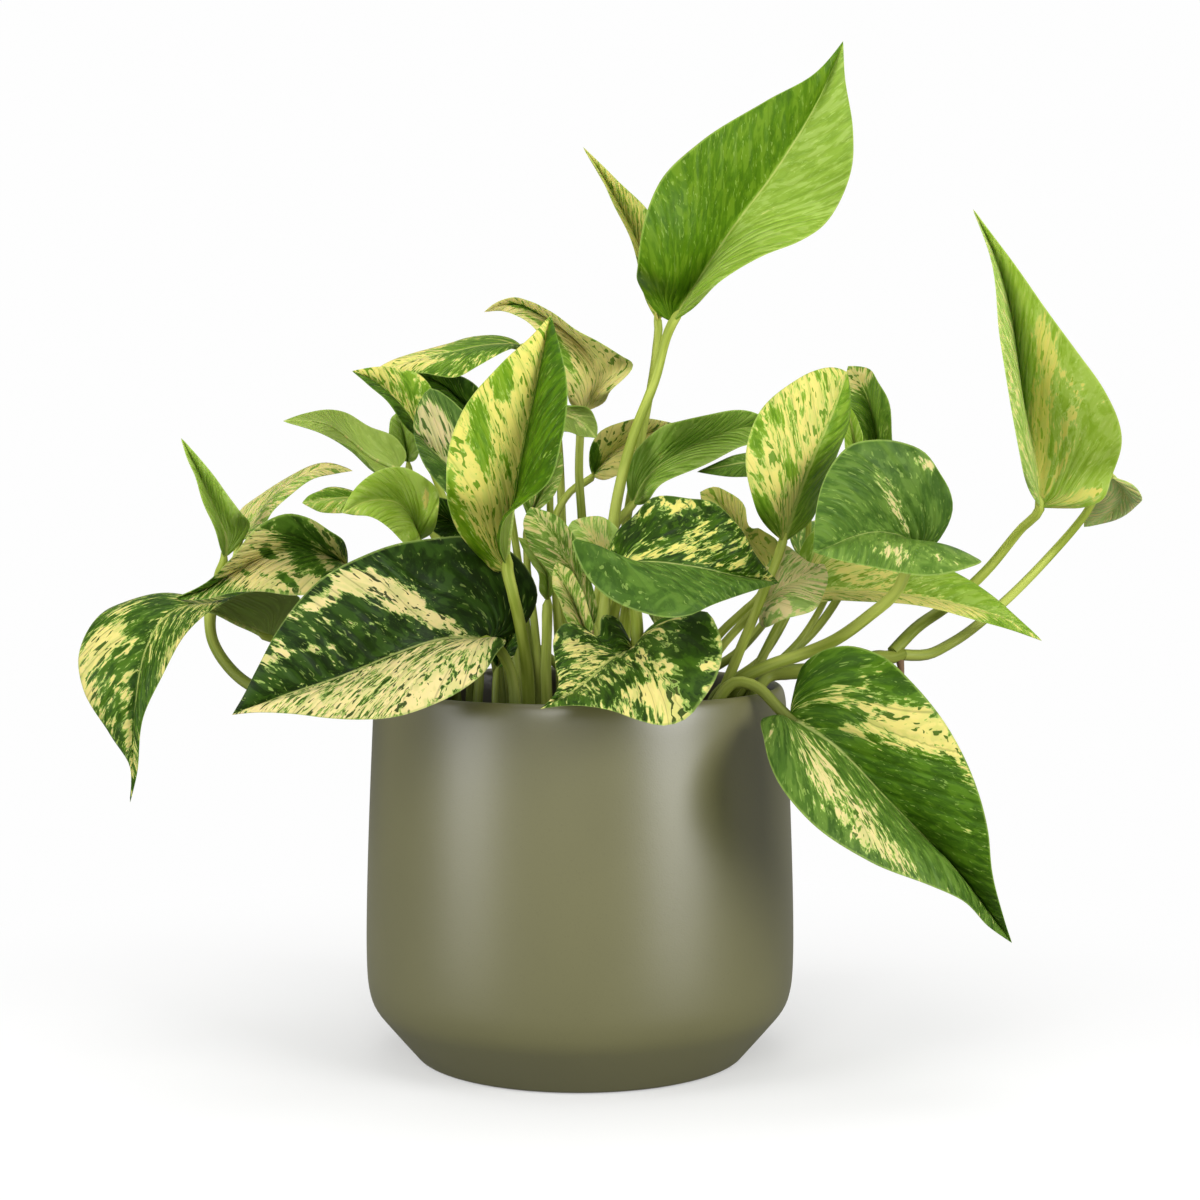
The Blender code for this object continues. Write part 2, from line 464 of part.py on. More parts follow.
def smooth(points, shares):
    """Points on a smooth curve through the given ones, at these shares of its length.

    Between two knots it is the cubic a (1 + 2 s) (1 - s)^2 + b s^2 (3 - 2 s) plus the slopes
    m s (1 - s)^2 - n s^2 (1 - s), with each slope the mean of the two chords that meet there.
    """
    points = np.asarray(points, float)
    shares = np.asarray(shares, float)
    if len(points) == 2:
        return points[0] + (points[1] - points[0]) * shares[:, None]
    knots = shares_along(points)
    steps = np.diff(knots)
    chords = np.diff(points, axis=0) / steps[:, None]
    slopes = np.zeros_like(points)
    weighted = chords[:-1] * steps[1:, None] + chords[1:] * steps[:-1, None]
    slopes[1:-1] = weighted / (steps[1:] + steps[:-1])[:, None]
    slopes[0] = 1.5 * chords[0] - 0.5 * slopes[1]
    slopes[-1] = 1.5 * chords[-1] - 0.5 * slopes[-2]
    piece = np.clip(np.searchsorted(knots, shares, side="right") - 1, 0, len(points) - 2)
    step = steps[piece][:, None]
    s = (shares - knots[piece])[:, None] / step
    curve = (2 * s**3 - 3 * s**2 + 1) * points[piece]
    curve += (s**3 - 2 * s**2 + s) * step * slopes[piece]
    curve += (3 * s**2 - 2 * s**3) * points[piece + 1]
    curve += (s**3 - s**2) * step * slopes[piece + 1]
    return curve


def natural_reach(shares, length, half_width):
    """How far a natural blade's edge lies from its midrib, at shares of the edge."""
    outline = smooth(np.array([(*point, 0.0) for point in OUTLINE]), shares)
    along = (outline[:, 0] - shares**MIDRIB_POWER) * length
    return np.hypot(along, outline[:, 1] * half_width)


def edge_in_space(midrib, points, half_width, side):
    """The edge in mm, base and tip included. A point without a depth is moved along its line of
    sight until it lies the natural reach from the midrib, to the near or the far side."""
    dense = smooth(midrib, np.linspace(0, 1, 50))
    length = np.linalg.norm(np.diff(dense, axis=0), axis=1).sum()
    count = len(points)
    middle = smooth(midrib, np.arange(1, count + 1) / (count + 1))
    depths = [p[2] if len(p) > 2 else m[1] for p, m in zip(points, middle)]
    for _ in range(12):
        spots = [seen(p[0], p[1], depth) for p, depth in zip(points, depths)]
        edge = np.vstack([midrib[:1], spots, midrib[-1:]])
        shares = shares_along(edge)[1:-1]
        centres = smooth(midrib, shares**MIDRIB_POWER)
        reach = natural_reach(shares, length, half_width)
        for i, point in enumerate(points):
            if len(point) > 2:
                continue
            sight = unit(seen(point[0], point[1], 0.0) - EYE)
            nearest = np.dot(centres[i] - EYE, sight)
            off = np.linalg.norm(EYE + sight * nearest - centres[i])
            more = np.sqrt(max(reach[i]**2 - off**2, 0.0)) * side
            wanted = (EYE + sight * (nearest + more))[1]
            depths[i] = 0.5 * depths[i] + 0.5 * wanted
    spots = [seen(p[0], p[1], depth) for p, depth in zip(points, depths)]
    return np.vstack([midrib[:1], spots, midrib[-1:]])


def half_blade(midrib, outer, side, heights, columns):
    """One half of a blade as a grid of points: straight from midrib to edge, plus an arch of
    height sin(pi t) along the upper normal, with t across and a height for each row."""
    rows = len(outer)
    u = np.linspace(0, 1, rows)
    t = np.linspace(0, 1, columns + 1)
    inner = smooth(midrib, u**MIDRIB_POWER)
    ahead = smooth(midrib, np.clip(u**MIDRIB_POWER + 1e-3, 0, 1))
    behind = smooth(midrib, np.clip(u**MIDRIB_POWER - 1e-3, 0, 1))
    along = unit(ahead - behind)
    span = outer - inner
    span = span - along * np.sum(span * along, axis=1, keepdims=True)
    normal = unit(np.cross(unit(span) * side, along))
    end = max(1, rows // 8)
    normal[:end] = normal[end]
    normal[-end:] = normal[-end - 1]
    flat = inner[:, None] * (1 - t)[None, :, None] + outer[:, None] * t[None, :, None]
    arch = heights[:, None, None] * np.sin(np.pi * t)[None, :, None]
    return flat + normal[:, None] * arch


def blade_grid(spec, rows, columns):
    """The whole blade as rows from base to tip and columns from left edge to right edge. A half
    arches by bow sin(pi u)^0.7, and by no more than a share of the way between the two edges,
    so that the halves of a folded blade stay apart."""
    midrib = seen_all(spec["midrib"])
    u = np.linspace(0, 1, rows)
    outers = []
    for key, side in (("left", 0), ("right", 1)):
        edge = edge_in_space(midrib, spec[key], spec["half_width"], spec["lean"][side])
        outers.append(smooth(edge, u))
    room = MOST_ARCH * np.linalg.norm(outers[0] - outers[1], axis=1)
    halves = []
    for outer, side, bow in zip(outers, (-1, 1), spec["bow"]):
        heights = np.minimum(bow * np.sin(np.pi * u)**0.7, room)
        halves.append(half_blade(midrib, outer, side, heights, columns))
    return np.concatenate([halves[0][:, ::-1], halves[1][:, 1:]], axis=1)


def blade_faces(rows, columns):
    """Triangles over the grid, with one point each for the base and the tip."""
    wide = 2 * columns + 1
    last = 1 + (rows - 2) * wide
    faces = []
    for j in range(wide - 1):
        faces.append((0, 2 + j, 1 + j))
        faces.append((last, last - wide + j, last - wide + j + 1))
    for i in range(rows - 3):
        for j in range(wide - 1):
            a = 1 + i * wide + j
            faces.append((a, a + 1, a + wide + 1))
            faces.append((a, a + wide + 1, a + wide))
    return faces


def new_object(name, points, faces):
    """A mesh object from points in mm."""
    mesh = bpy.data.meshes.new(name)
    mesh.from_pydata([tuple(point) for point in np.asarray(points) * MM], [], faces)
    mesh.validate()
    item = bpy.data.objects.new(name, mesh)
    bpy.context.scene.collection.objects.link(item)
    return item


def thick_side(grid):
    """Where a blade's thickness goes: below where it folds up, above where it folds down, so
    that the two walls of a tight fold never meet."""
    rows = grid[1:-1]
    middle = rows[:, COLUMNS]
    span = rows[:, -1] - rows[:, 0]
    normal = unit(np.cross(span, grid[2:, COLUMNS] - grid[:-2, COLUMNS]))
    rise = np.sum(((rows[:, 0] + rows[:, -1]) / 2 - middle) * normal, axis=1)
    return -1.0 if rise.sum() > 0 else 1.0


def blade_object(name, spec):
    """The blade as an open surface of triangles, thickened by a Solidify modifier."""
    rows = ROWS_WIDE if spec["half_width"] >= WIDE_BLADE else ROWS_NARROW
    grid = blade_grid(spec, rows, COLUMNS)
    points = np.vstack([grid[0, COLUMNS], grid[1:-1].reshape(-1, 3), grid[-1, COLUMNS]])
    blade = new_object(name, points, blade_faces(rows, COLUMNS))
    solid = blade.modifiers.new("thickness", "SOLIDIFY")
    solid.thickness = BLADE_THICKNESS * MM
    solid.offset = thick_side(grid)
    return blade


def tube_object(name, points, radii, step, sides, nodes=()):
    """A round tube along a smooth curve through points in mm, as a closed mesh."""
    length = np.linalg.norm(np.diff(points, axis=0), axis=1).sum()
    count = max(5, int(round(length / step)) + 1)
    shares = np.linspace(0, 1, count)
    path = smooth(points, shares) * MM
    radius = radii[0] + (radii[1] - radii[0]) * shares
    for place in nodes:
        radius = radius * (1 + 0.22 * np.exp(-(((shares - place) * length / 5.0)**2)))
    curve = bpy.data.curves.new(name, "CURVE")
    curve.dimensions = "3D"
    curve.bevel_depth = MM
    curve.bevel_resolution = (sides - 4) // 2
    curve.use_fill_caps = True
    spline = curve.splines.new("POLY")
    spline.points.add(count - 1)
    for point, place, size in zip(spline.points, path, radius):
        point.co = (*place, 1.0)
        point.radius = size
    holder = bpy.data.objects.new(name + " path", curve)
    bpy.context.scene.collection.objects.link(holder)
    return applied(holder, name)


def applied(item, name):
    """A plain closed mesh object with the modifiers of item applied, in place of item."""
    bpy.context.view_layer.update()
    graph = bpy.context.evaluated_depsgraph_get()
    mesh = bpy.data.meshes.new_from_object(item.evaluated_get(graph))
    bpy.data.objects.remove(item, do_unlink=True)
    mesh.name = name
    edit = bmesh.new()
    edit.from_mesh(mesh)
    bmesh.ops.remove_doubles(edit, verts=edit.verts, dist=1e-6)
    bmesh.ops.recalc_face_normals(edit, faces=edit.faces)
    edit.to_mesh(mesh)
    edit.free()
    result = bpy.data.objects.new(name, mesh)
    bpy.context.scene.collection.objects.link(result)
    return result


def helper_collection(name, items):
    """A collection that holds only the items a Boolean takes in."""
    collection = bpy.data.collections.new(name)
    bpy.context.scene.collection.children.link(collection)
    for item in items:
        for home in list(item.users_collection):
            home.objects.unlink(item)
        collection.objects.link(item)
    return collection


def combine(item, others, operation):
    """One Boolean of item with all the others, applied, and the others removed."""
    name = item.name
    collection = helper_collection(name + " helpers", others)
    boolean = item.modifiers.new("combine", "BOOLEAN")
    boolean.operation = operation
    boolean.operand_type = "COLLECTION"
    boolean.collection = collection
    boolean.solver = "EXACT"
    item.name = name + " before"
    result = applied(item, name)
    for other in list(collection.objects):
        bpy.data.objects.remove(other, do_unlink=True)
    bpy.data.collections.remove(collection)
    return result


def stalk_path(start, path, hole):
    """Points in mm from the start, along the path, and straight down into the hole."""
    points = [*start, *[seen(*point) for point in path]]
    if hole is not None:
        x, y = hole
        points += [np.array([x, y, z]) for z in (SOIL_TOP + 10, SOIL_TOP - 3, STALK_END)]
    return np.array(points)


def finish(item, material, smooth_angle=None):
    """Sets the material and the shading of a finished node."""
    item.data.materials.clear()
    item.data.materials.append(material)
    item.data.polygons.foreach_set("use_smooth", [True] * len(item.data.polygons))
    if smooth_angle is not None:
        item.data.set_sharp_from_angle(angle=np.radians(smooth_angle))
    return item


def make_leaf(spec, material, vine):
    """Blade and stalk as one body. A stalk that grows from a vine is cut clear of it."""
    name = "leaf_" + spec["name"]
    blade = blade_object(name, spec)
    midrib = seen_all(spec["midrib"])
    start = [smooth(midrib, [0.04])[0], midrib[0]]
    path = stalk_path(start, spec["stalk"], spec["hole"])
    stalk = tube_object(name + " stalk", path, spec["radii"], STALK_STEP, 6)
    whole = combine(blade, [stalk], "UNION")
    if vine is not None:
        cutter = vine_tube(vine, "clearance", VINE_CLEARANCE)
        whole = combine(whole, [cutter], "DIFFERENCE")
    return finish(whole, material, 40)


def vine_tube(name, label, extra):
    """The tube of a vine, thicker by extra mm where it serves as a cutter."""
    spec = VINES[name]
    path = stalk_path([], spec["path"], spec["hole"])
    if extra:
        path[0] = path[0] + unit(path[0] - path[1]) * extra
    radii = (spec["radii"][0] + extra, spec["radii"][1] + extra)
    return tube_object(label, path, radii, VINE_STEP, 8, spec["nodes"])


def make_vine(name, material):
    """A vine with its swollen nodes, and on the right one the stub of an aerial root."""
    vine = vine_tube(name, name, 0)
    if name == "vine_right":
        stub = tube_object("root stub", seen_all(ROOT_STUB), ROOT_STUB_RADII, 4.0, 6)
        vine = combine(vine, [stub], "UNION")
    return finish(vine, material, 50)


def revolved(name, profile, steps):
    """A profile of (radius, height) in mm turned about +Z by a Screw modifier."""
    points = [(radius, 0.0, height) for radius, height in profile]
    mesh = bpy.data.meshes.new(name + " profile")
    edges = [(i, i + 1) for i in range(len(points) - 1)]
    mesh.from_pydata([tuple(MM * value for value in point) for point in points], edges, [])
    item = bpy.data.objects.new(name + " profile", mesh)
    bpy.context.scene.collection.objects.link(item)
    screw = item.modifiers.new("turn", "SCREW")
    screw.axis = "Z"
    screw.angle = 2 * np.pi
    screw.steps = steps
    screw.render_steps = steps
    screw.use_merge_vertices = True
    screw.merge_threshold = 0.00001
    return applied(item, name)


def hole_cutter(label, hole, radius):
    """An eight-sided plain hole, wide enough to clear a stalk of this radius all round."""
    x, y = hole
    top, bottom = SOIL_TOP + 8, STALK_END - 0.5
    bpy.ops.mesh.primitive_cylinder_add(
        vertices=8,
        radius=(radius + HOLE_CLEARANCE) / np.cos(np.pi / 8) * MM,
        depth=(top - bottom) * MM,
        location=(x * MM, y * MM, (top + bottom) / 2 * MM),
    )
    cutter = bpy.context.object
    cutter.name = label
    return cutter


def make_soil(material):
    """The soil, with a plain hole for each stalk and vine that stands in it."""
    soil = revolved("soil", SOIL_PROFILE, SOIL_STEPS)
    cutters = []
    for spec in LEAVES:
        if spec["hole"] is not None:
            label = "hole " + spec["name"]
            cutters.append(hole_cutter(label, spec["hole"], spec["radii"][1]))
    for name, spec in VINES.items():
        cutters.append(hole_cutter("hole " + name, spec["hole"], spec["radii"][1]))
    return finish(combine(soil, cutters, "DIFFERENCE"), material, 30)


# Colours in linear red, green and blue. Leaves not named here are marbled.
PLAIN_LEAVES = ("tall", "plain", "sliver", "round_dark", "under_bright", "slip", "low_inner")
CREAM_LEAVES = ("arching", "peek", "cream_small", "cream_right", "centre")
GREEN = (0.055, 0.155, 0.018)
MARBLED = (0.190, 0.290, 0.075)
CREAM = (0.480, 0.500, 0.170)
STALK_GREEN = (0.240, 0.330, 0.070)
CERAMIC = (0.155, 0.148, 0.098)
DARK_SOIL = (0.028, 0.020, 0.014)


def leaf_material(name, kinds):
    """The material of a leaf by its name."""
    if name in PLAIN_LEAVES:
        return kinds["plain"]
    if name in CREAM_LEAVES:
        return kinds["cream"]
    return kinds["marbled"]


def main():
    clear_scene()
    kinds = {
        "plain": make_material("leaf green", GREEN, 0.40),
        "marbled": make_material("leaf marbled", MARBLED, 0.40),
        "cream": make_material("leaf cream", CREAM, 0.42),
    }
    finish(revolved("pot", POT_PROFILE, POT_STEPS), make_material("ceramic", CERAMIC, 0.60), 50)
    make_soil(make_material("soil", DARK_SOIL, 0.95))
    stalk_green = make_material("vine green", STALK_GREEN, 0.50)
    for name in VINES:
        make_vine(name, stalk_green)
    for spec in LEAVES:
        carriers = [name for name, vine in VINES.items() if spec["name"] in vine["carries"]]
        make_leaf(spec, leaf_material(spec["name"], kinds), carriers[0] if carriers else None)


main()
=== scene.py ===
"""Looks of the potted marble queen pothos, laid out as a Blender add-on and run as a script.

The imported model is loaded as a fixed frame. Pot, soil, vines and leaves are finer surfaces that
stand exactly where the model's own nodes stand, and take over what shows of them.
"""

import bpy
import numpy as np
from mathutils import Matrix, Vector


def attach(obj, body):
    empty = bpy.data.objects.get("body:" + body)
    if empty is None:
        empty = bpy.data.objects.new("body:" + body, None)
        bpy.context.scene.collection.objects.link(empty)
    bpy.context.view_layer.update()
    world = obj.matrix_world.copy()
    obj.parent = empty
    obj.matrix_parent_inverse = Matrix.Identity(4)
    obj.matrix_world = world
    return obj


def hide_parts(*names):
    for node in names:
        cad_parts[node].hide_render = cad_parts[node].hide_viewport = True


bl_info = {
    "name": "Potted marble queen pothos",
    "version": (1, 0, 0),
    "blender": (4, 5, 0),
    "location": "3D View > Sidebar > Pothos",
    "description": "Pot, soil, vines and marbled leaves of a potted houseplant",
    "category": "Object",
}

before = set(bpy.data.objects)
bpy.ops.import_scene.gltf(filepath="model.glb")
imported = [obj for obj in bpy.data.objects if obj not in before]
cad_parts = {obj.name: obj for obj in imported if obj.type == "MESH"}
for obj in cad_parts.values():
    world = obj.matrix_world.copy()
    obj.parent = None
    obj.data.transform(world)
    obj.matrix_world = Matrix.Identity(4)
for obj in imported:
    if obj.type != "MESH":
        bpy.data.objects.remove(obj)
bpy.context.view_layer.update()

MM = 0.001

# Front view: where the eye stands and the height it looks at, both in mm, the scale of the view,
# which is its units per unit of slope, and its width in the same units.
EYE = np.array([7.0, -800.0, 207.0])
AIM_HEIGHT = 159.3
VIEW_SCALE = 2293.0
VIEW_WIDTH = 1200
VIEW_MIDDLE = VIEW_WIDTH / 2

# Pot, as (radius, height) in mm, from the middle of the floor inside, up over the lip and down.
POT_PROFILE = [
    (0, 6), (50, 6), (56, 8), (66, 19), (69.6, 36), (69.4, 60), (68.4, 90), (67, 118),
    (66.9, 125.5), (67.4, 128), (68.4, 129.5), (69.5, 130), (70.5, 129.4), (71.4, 127.6),
    (72, 124), (72.4, 116), (73.6, 90), (74.6, 62), (75, 42), (74.8, 30), (74.2, 24), (72.6, 18.4),
    (68.2, 13), (58.4, 1.6), (57.4, 0.5), (56, 0), (0, 0),
]
POT_ROUNDS = 2
POT_SIDES = 160

# Soil: radius of its edge and height of its surface in mm, and the rings and sides of its mesh.
SOIL_EDGE = 66.4
SOIL_TOP = 112.0
SOIL_RINGS = 45
SOIL_SIDES = 150

# Half outline of a natural blade: share of its length, share of its half width.
OUTLINE = [
    (0, 0), (-0.055, 0.20), (-0.075, 0.45), (-0.02, 0.74), (0.12, 0.94), (0.29, 1.0),
    (0.47, 0.90), (0.64, 0.66), (0.79, 0.36), (0.90, 0.14), (1.0, 0.0),
]

# A row at a share u of the edge meets the midrib at u to this power. A half arches by no more
# than a share of the way between the two edges. Side veins: pairs along the blade, how far
# forward they run and curve for each mm out, and the blade's share for each radian of the fan.
MIDRIB_POWER = 1.5
MOST_ARCH = 0.15
VEIN_PAIRS = 11
VEIN_SLOPE = 1.1
VEIN_CURVE = 0.6
VEIN_FAN = 0.24

# Midrib as a line of colour: its half width in mm, the number from which the share along is
# taken to taper it, and how many widths a faint one is moved off.
RIB_WIDTH = 0.9
RIB_TAPER = 1.15
RIB_FADE = 0.9

# The two halves have marbling of their own, this far apart in seed, which meets within so many mm
# of the midrib. Side veins begin to show at the first half width, are clear at the second, and
# fade within the third number of mm from the midrib.
HALVES_MEET = 1.5
HALVES_APART = 1.5
VEINS_CLEAR = (1.5, 6.5, 2)

# Soil below its surface, as (radius, height) in mm, down to the middle of the pot's floor.
SOIL_WALL = [(68.0, 90), (69.0, 60), (69.2, 36), (65.6, 19.4), (55.8, 8.5), (49.8, 6.4), (0, 6.4)]

# Greens from the darkest leaf to the brightest, in a grey and in a yellow row.
GREY_GREENS = [(0.0, "#0d1904"), (0.25, "#2c4815"), (0.5, "#587530"), (0.75, "#7f984b"),
               (1.0, "#a3b878")]
YELLOW_GREENS = [(0.0, "#142203"), (0.25, "#315205"), (0.5, "#557b08"), (0.75, "#809d26"),
                 (1.0, "#a1b656")]

# Marbling: streaks as (mm across the side veins, mm along them, seed, detail), and three sizes
# of blotch, each a streak and how much it counts. Those of a stalk are (mm along it, mm round it,
# seed, detail, mm in the third measure).
PATCH = (3.9, 6.6, 21, 1.5)
FLECK = (1.9, 3.9, 31, 0.7)
GRAIN = (0.8, 2.2, 61, 1.5)
PIN = (1.2, 3, 51, 1.5)
BLOTCHES = [((6, 12, 0, 2), 1.0), ((2.3, 4.5, 7, 2), 2.1), ((0.9, 1.9, 13, 2), 0.8)]
STALK_STREAKS = [(30, 0.8, 3, 1.5, 0.8), (25, 3, 9, 1.5, 3)]

# How far the deeper and the lighter green lie from a leaf's own in the rows of greens. Then the
# shares of pale green in its wash, of cream in the rib, of the grain's height in the relief, and
# of the cast on the underside.
DEEPER = -0.1
LIGHTER = 0.22
PALE_SHARE = 0.55
RIB_SHARE = 0.35
GRAIN_HEIGHT = 0.15
UNDERSIDE_SHARE = 0.35

# Layers of colour: where one sets in and where it is full, and how much it then covers. Patches,
# flecks, grains, pins, streaks, clouds and crumbs go by the height of their noise, blotches by
# the amount of cream, the rib by its own width, the rim by the share of the way across, side veins
# by the share of the way to the next one, and foot, painted shade in the pot, and floor by metres.
STEPS = {
    "light patch": (0.0, 0.10, 0.5), "deep patch": (-0.04, -0.12, 0.65),
    "light grain": (0.06, 0.12, 0.2), "pale wash": (0.06, -0.12, 0.3),
    "dark fleck": (0.115, 0.145, 0.95), "light blotch": (-0.34, -0.24, 0.4),
    "pale blotch": (-0.10, -0.04, 1), "cream blotch": (0.03, 0.08, 1),
    "pale pin": (0.15, 0.18, 0.5), "rib": (1.3, 0.5, 0.75), "rim": (0.972, 0.99, 0.5),
    "vein line": (0.06, 0.02, 0.35), "vein groove": (0.0, 0.3, 1),
    "fine streak": (-0.1, 0.15, 0.25), "wide streak": (-0.1, 0.2, 0.7),
    "stalk foot": (160 * MM, 115 * MM, 0.85), "glaze cloud": (0.4, 0.7, 1),
    "glaze grain": (0.60, 0.72, 1), "painted shade inside": (68.6 * MM, 67.6 * MM, 0.8),
    "painted shade height": (90 * MM, 100 * MM, 1), "soil crumb": (0.35, 0.7, 1),
    "white floor": (0.09, 0.34, 1),
}

# Sizes in mm of the clouds and the grain in the glaze and of the crumbs in the soil, how much
# darker and paler the glaze gets, and the colours that aren't for the user to change.
GLAZE_CLOUD = 45.5
GLAZE_GRAIN = 0.625
GLAZE_SHARES = (0.90, 1.05)
SOIL_CRUMB = 2.86
DRY_SOIL = "#3a2c20"
PERLITE = "#d9d5c8"
ROOT_BARK = "#6b5138"
FLOOR_PAINT = "#efefee"
FLOOR_BOUNCE = "#959595"

# Soil surface: how much its middle is raised in mm, and its waves as (height in mm, turns in
# radians per mm along x and along y, start in radians).
QUARTER_TURN = np.pi / 2
SOIL_CROWN = 2.6
SOIL_WAVES = [
    (0.35, 0.21, 0.19, 0.9), (0.35, 0.21, -0.19, 1.7), (0.35, 0.63, -0.8, 0.0),
    (0.3, 0.55, 0.91, QUARTER_TURN), (0.075, 1.9, -2.1, 0.7 + QUARTER_TURN),
    (-0.075, 1.9, 2.1, 0.7 + QUARTER_TURN),
]

# Loose bits on the soil: how many, their size in mm, and the seed of their draws. They keep this
# many mm off the wall. Two corners of a bit share a side if they are closer than the longest one,
# as a share of a corner's distance from the middle.
CRUMBS = (700, 1.1, 11)
GRAINS = (60, 1.0, 12)
CRUMB_MARGIN = 3.0
LONGEST_SIDE = 1.06

# A bit's size, and how far each of its corners is out, as the least share and what a draw from 0
# to 1 adds to it. Bits are flatter than they are wide.
BIT_SIZE = (0.5, 1.0)
BIT_CORNER = (0.65, 0.6)
BIT_SHAPE = (1.0, 1.0, 0.7)

# Fine blades: spacing of their rows and columns in mm with the least and the most of them, and
# where the last column before the rim lies.
ROWS = (1.4, 28, 84)
COLUMNS = (1.6, 8, 18)
RIM_START = 0.975

# Furrow along the midrib: its half width in mm. Waves of the rim: how many lie along a blade, the
# turns by which they start later for each unit of seed, and the radians by which the right half
# is ahead and the left one behind.
FURROW_WIDTH = 1.3
WAVES = 2.3
WAVE_START = 0.37
WAVE_TURN = 1.7

# Rounding of a fold along the midrib, for a soft of one: its half width as a share of the way
# across, and how many rounds it takes.
FOLD_WIDTH = 0.3
FOLD_ROUNDS = 8

# Rounds in which an edge without depth settles, and how far ahead and behind the run of a midrib
# is taken, as a share of its length.
EDGE_ROUNDS = 12
NUDGE = 1e-3

# Rib under the blade: its radii in mm at base and end, where it ends as a share of the midrib,
# and its sides. Then its colouring, (cream, shade, cast), and its place among the ribs, which
# keeps the lines of midrib, side veins and rim off it.
RIB_RADII = (0.9, 0.3)
RIB_END = 0.86
RIB_SIDES = 8
RIB_TONE = (-0.1, 0.8, 0.5)
OFF_THE_RIB = (9.0, 0.5, 0.5)

# Stalks, in mm where nothing else is said: the radius from which the rib has its full size, the
# radius of the circle on which the skin's streaks lie, spacing of the rings, number of sides,
# groove as (share of the radius, half width in radians), swelling as (share of the radius, where
# it is, half width), fine start as (share of the radius, way to the full one). A stalk starts
# inside the blade, at a share of the midrib. At its foot it goes straight down from above the
# soil to below it, and to its end.
THICK_STALK = 1.5
STALK_ROUND = 1.6
STALK_STEP = 3.0
STALK_SIDES = 12
GROOVE = (0.12, 0.6)
SWELLING = (0.12, 6, 5)
FINE_START = (0.35, 4)
STALK_START = 0.05
STALK_FOOT = (SOIL_TOP + 10, SOIL_TOP - 3, 98.0)

# A first direction across a tube, chosen so that no path runs along it.
ACROSS = (0.31, 0.95, 0.05)

# Vines: spacing of the rings in mm, sides, radius of the circle for the streaks, seed, then the
# swelling of a node and the ring in it as (share of the radius, half width in mm), and the root
# stub's radii in mm, rings and sides.
VINE_STEP = 1.5
VINE_SIDES = 16
VINE_ROUND = 2
VINE_SEED = 50.0
NODE = (0.2, 5)
NODE_RING = (0.08, 0.9)
ROOT_RADII = (1.7, 0.8)
ROOT_RINGS = 9
ROOT_SIDES = 10

# Seeds of the leaves: the step from one to the next, and the first.
LEAF_SEEDS = (3.0, 1)

# Soft lights: place, the point they face and size, all in metres, and power in watts.
LIGHTS = {
    "left": ((-1.48, -0.9, 0.55), (0, 0, 0.12), (0.85, 1.3), 25),
    "right": ((1.34, -1.08, 0.5), (0, 0, 0.12), (0.85, 1.2), 31),
    "front": ((-0.2, -1.7, 0.95), (0, 0, 0.15), (0.9, 0.9), 13),
    "top": ((0.1, 0.1, 1.9), (0, 0, 0.1), (1.6, 1.6), 15),
}

# Strengths of the sky as a light, of the glow in the floor by the pot, and of the backdrop.
# Floor: radius, sides, and its distance under the pot, in metres. The camera's sensor is in mm.
SKY_LIGHT = 0.38
FLOOR_LIGHT = 0.36
BACKDROP = 0.99
FLOOR_RADIUS = 4.0
FLOOR_SIDES = 96
FLOOR_GAP = 0.0002
SENSOR = 36

# Vines: path in the front view, hole in the soil, radii at the growing end and at the foot, and
# the places of the swollen nodes as shares of the length. The right one has a root stub.
VINES = {
    "vine_right": {
        "path": [(906, 653, 0), (893, 657, 0), (878, 657, 0), (845, 664, -2), (800, 671, -4),
                 (768, 676, -4)],
        "hole": (60, -14), "radii": (2.0, 2.7), "nodes": (0.09, 0.46),
    },
    "vine_left": {
        "path": [(217, 582, 18), (211, 606, 19), (212, 638, 19), (228, 666, 17), (252, 686, 14),
                 (300, 692, 10), (350, 672, 6), (395, 660, 4), (428, 672, 4)],
        "hole": (-52, 6), "radii": (1.9, 2.6), "nodes": (0.06, 0.5),
    },
}
ROOT_STUB = [(899, 655, 0), (901, 668, 0), (902, 678, 0)]

# An edge that leans to the viewer, or away, where the outline leaves it open.
NEAR = -1
FAR = 1

LEAVES = []


def leaf(name, half_width, midrib, left, right, stalk, hole, radii, lean=(NEAR, NEAR), bow=(2, 2)):
    """Notes one leaf: midrib and edges from base to tip, then its stalk down to its hole. lean
    is the way each half turns where its edge has no depth, and bow its arch in mm."""
    LEAVES.append({
        "name": name, "half_width": half_width, "lean": lean, "bow": bow, "midrib": midrib,
        "left": left, "right": right, "stalk": stalk, "hole": hole, "radii": radii,
    })


# Points are (across, down, depth) in a front view 1200 units wide, with the depth in mm behind
# the pot's axis. Left and right are as seen along the midrib from base to tip, from above the
# upper face. hole is (x, y) in mm, or None where the stalk grows from a vine.
leaf("tall", 32, bow=(3, 3),
     midrib=[(673, 322, 12), (700, 280, 9), (738, 222, 5), (777, 168, 0), (820, 96, -4),
             (843, 41, -6)],
     left=[(656, 312), (642, 290), (638, 262), (646, 215), (662, 178), (700, 142), (767, 100),
           (815, 73)],
     right=[(690, 311), (722, 281), (764, 256), (800, 240), (838, 205), (852, 165), (853, 130),
            (845, 75)],
     stalk=[(655, 380, 14), (632, 440, 10), (617, 500, 6), (608, 580, 2)],
     hole=(6, 0), radii=(1.6, 2.6))
leaf("peek", 18,
     midrib=[(658, 322, 34), (640, 262, 36), (612, 198, 38), (583, 147, 40)],
     left=[(646, 300), (637, 262), (615, 205), (600, 175)],
     right=[(674, 295), (668, 250), (648, 210), (615, 178)],
     stalk=[(656, 350, 34), (645, 420, 33), (630, 500, 30), (616, 600, 24)],
     hole=(11, 16), radii=(1.4, 2.0))
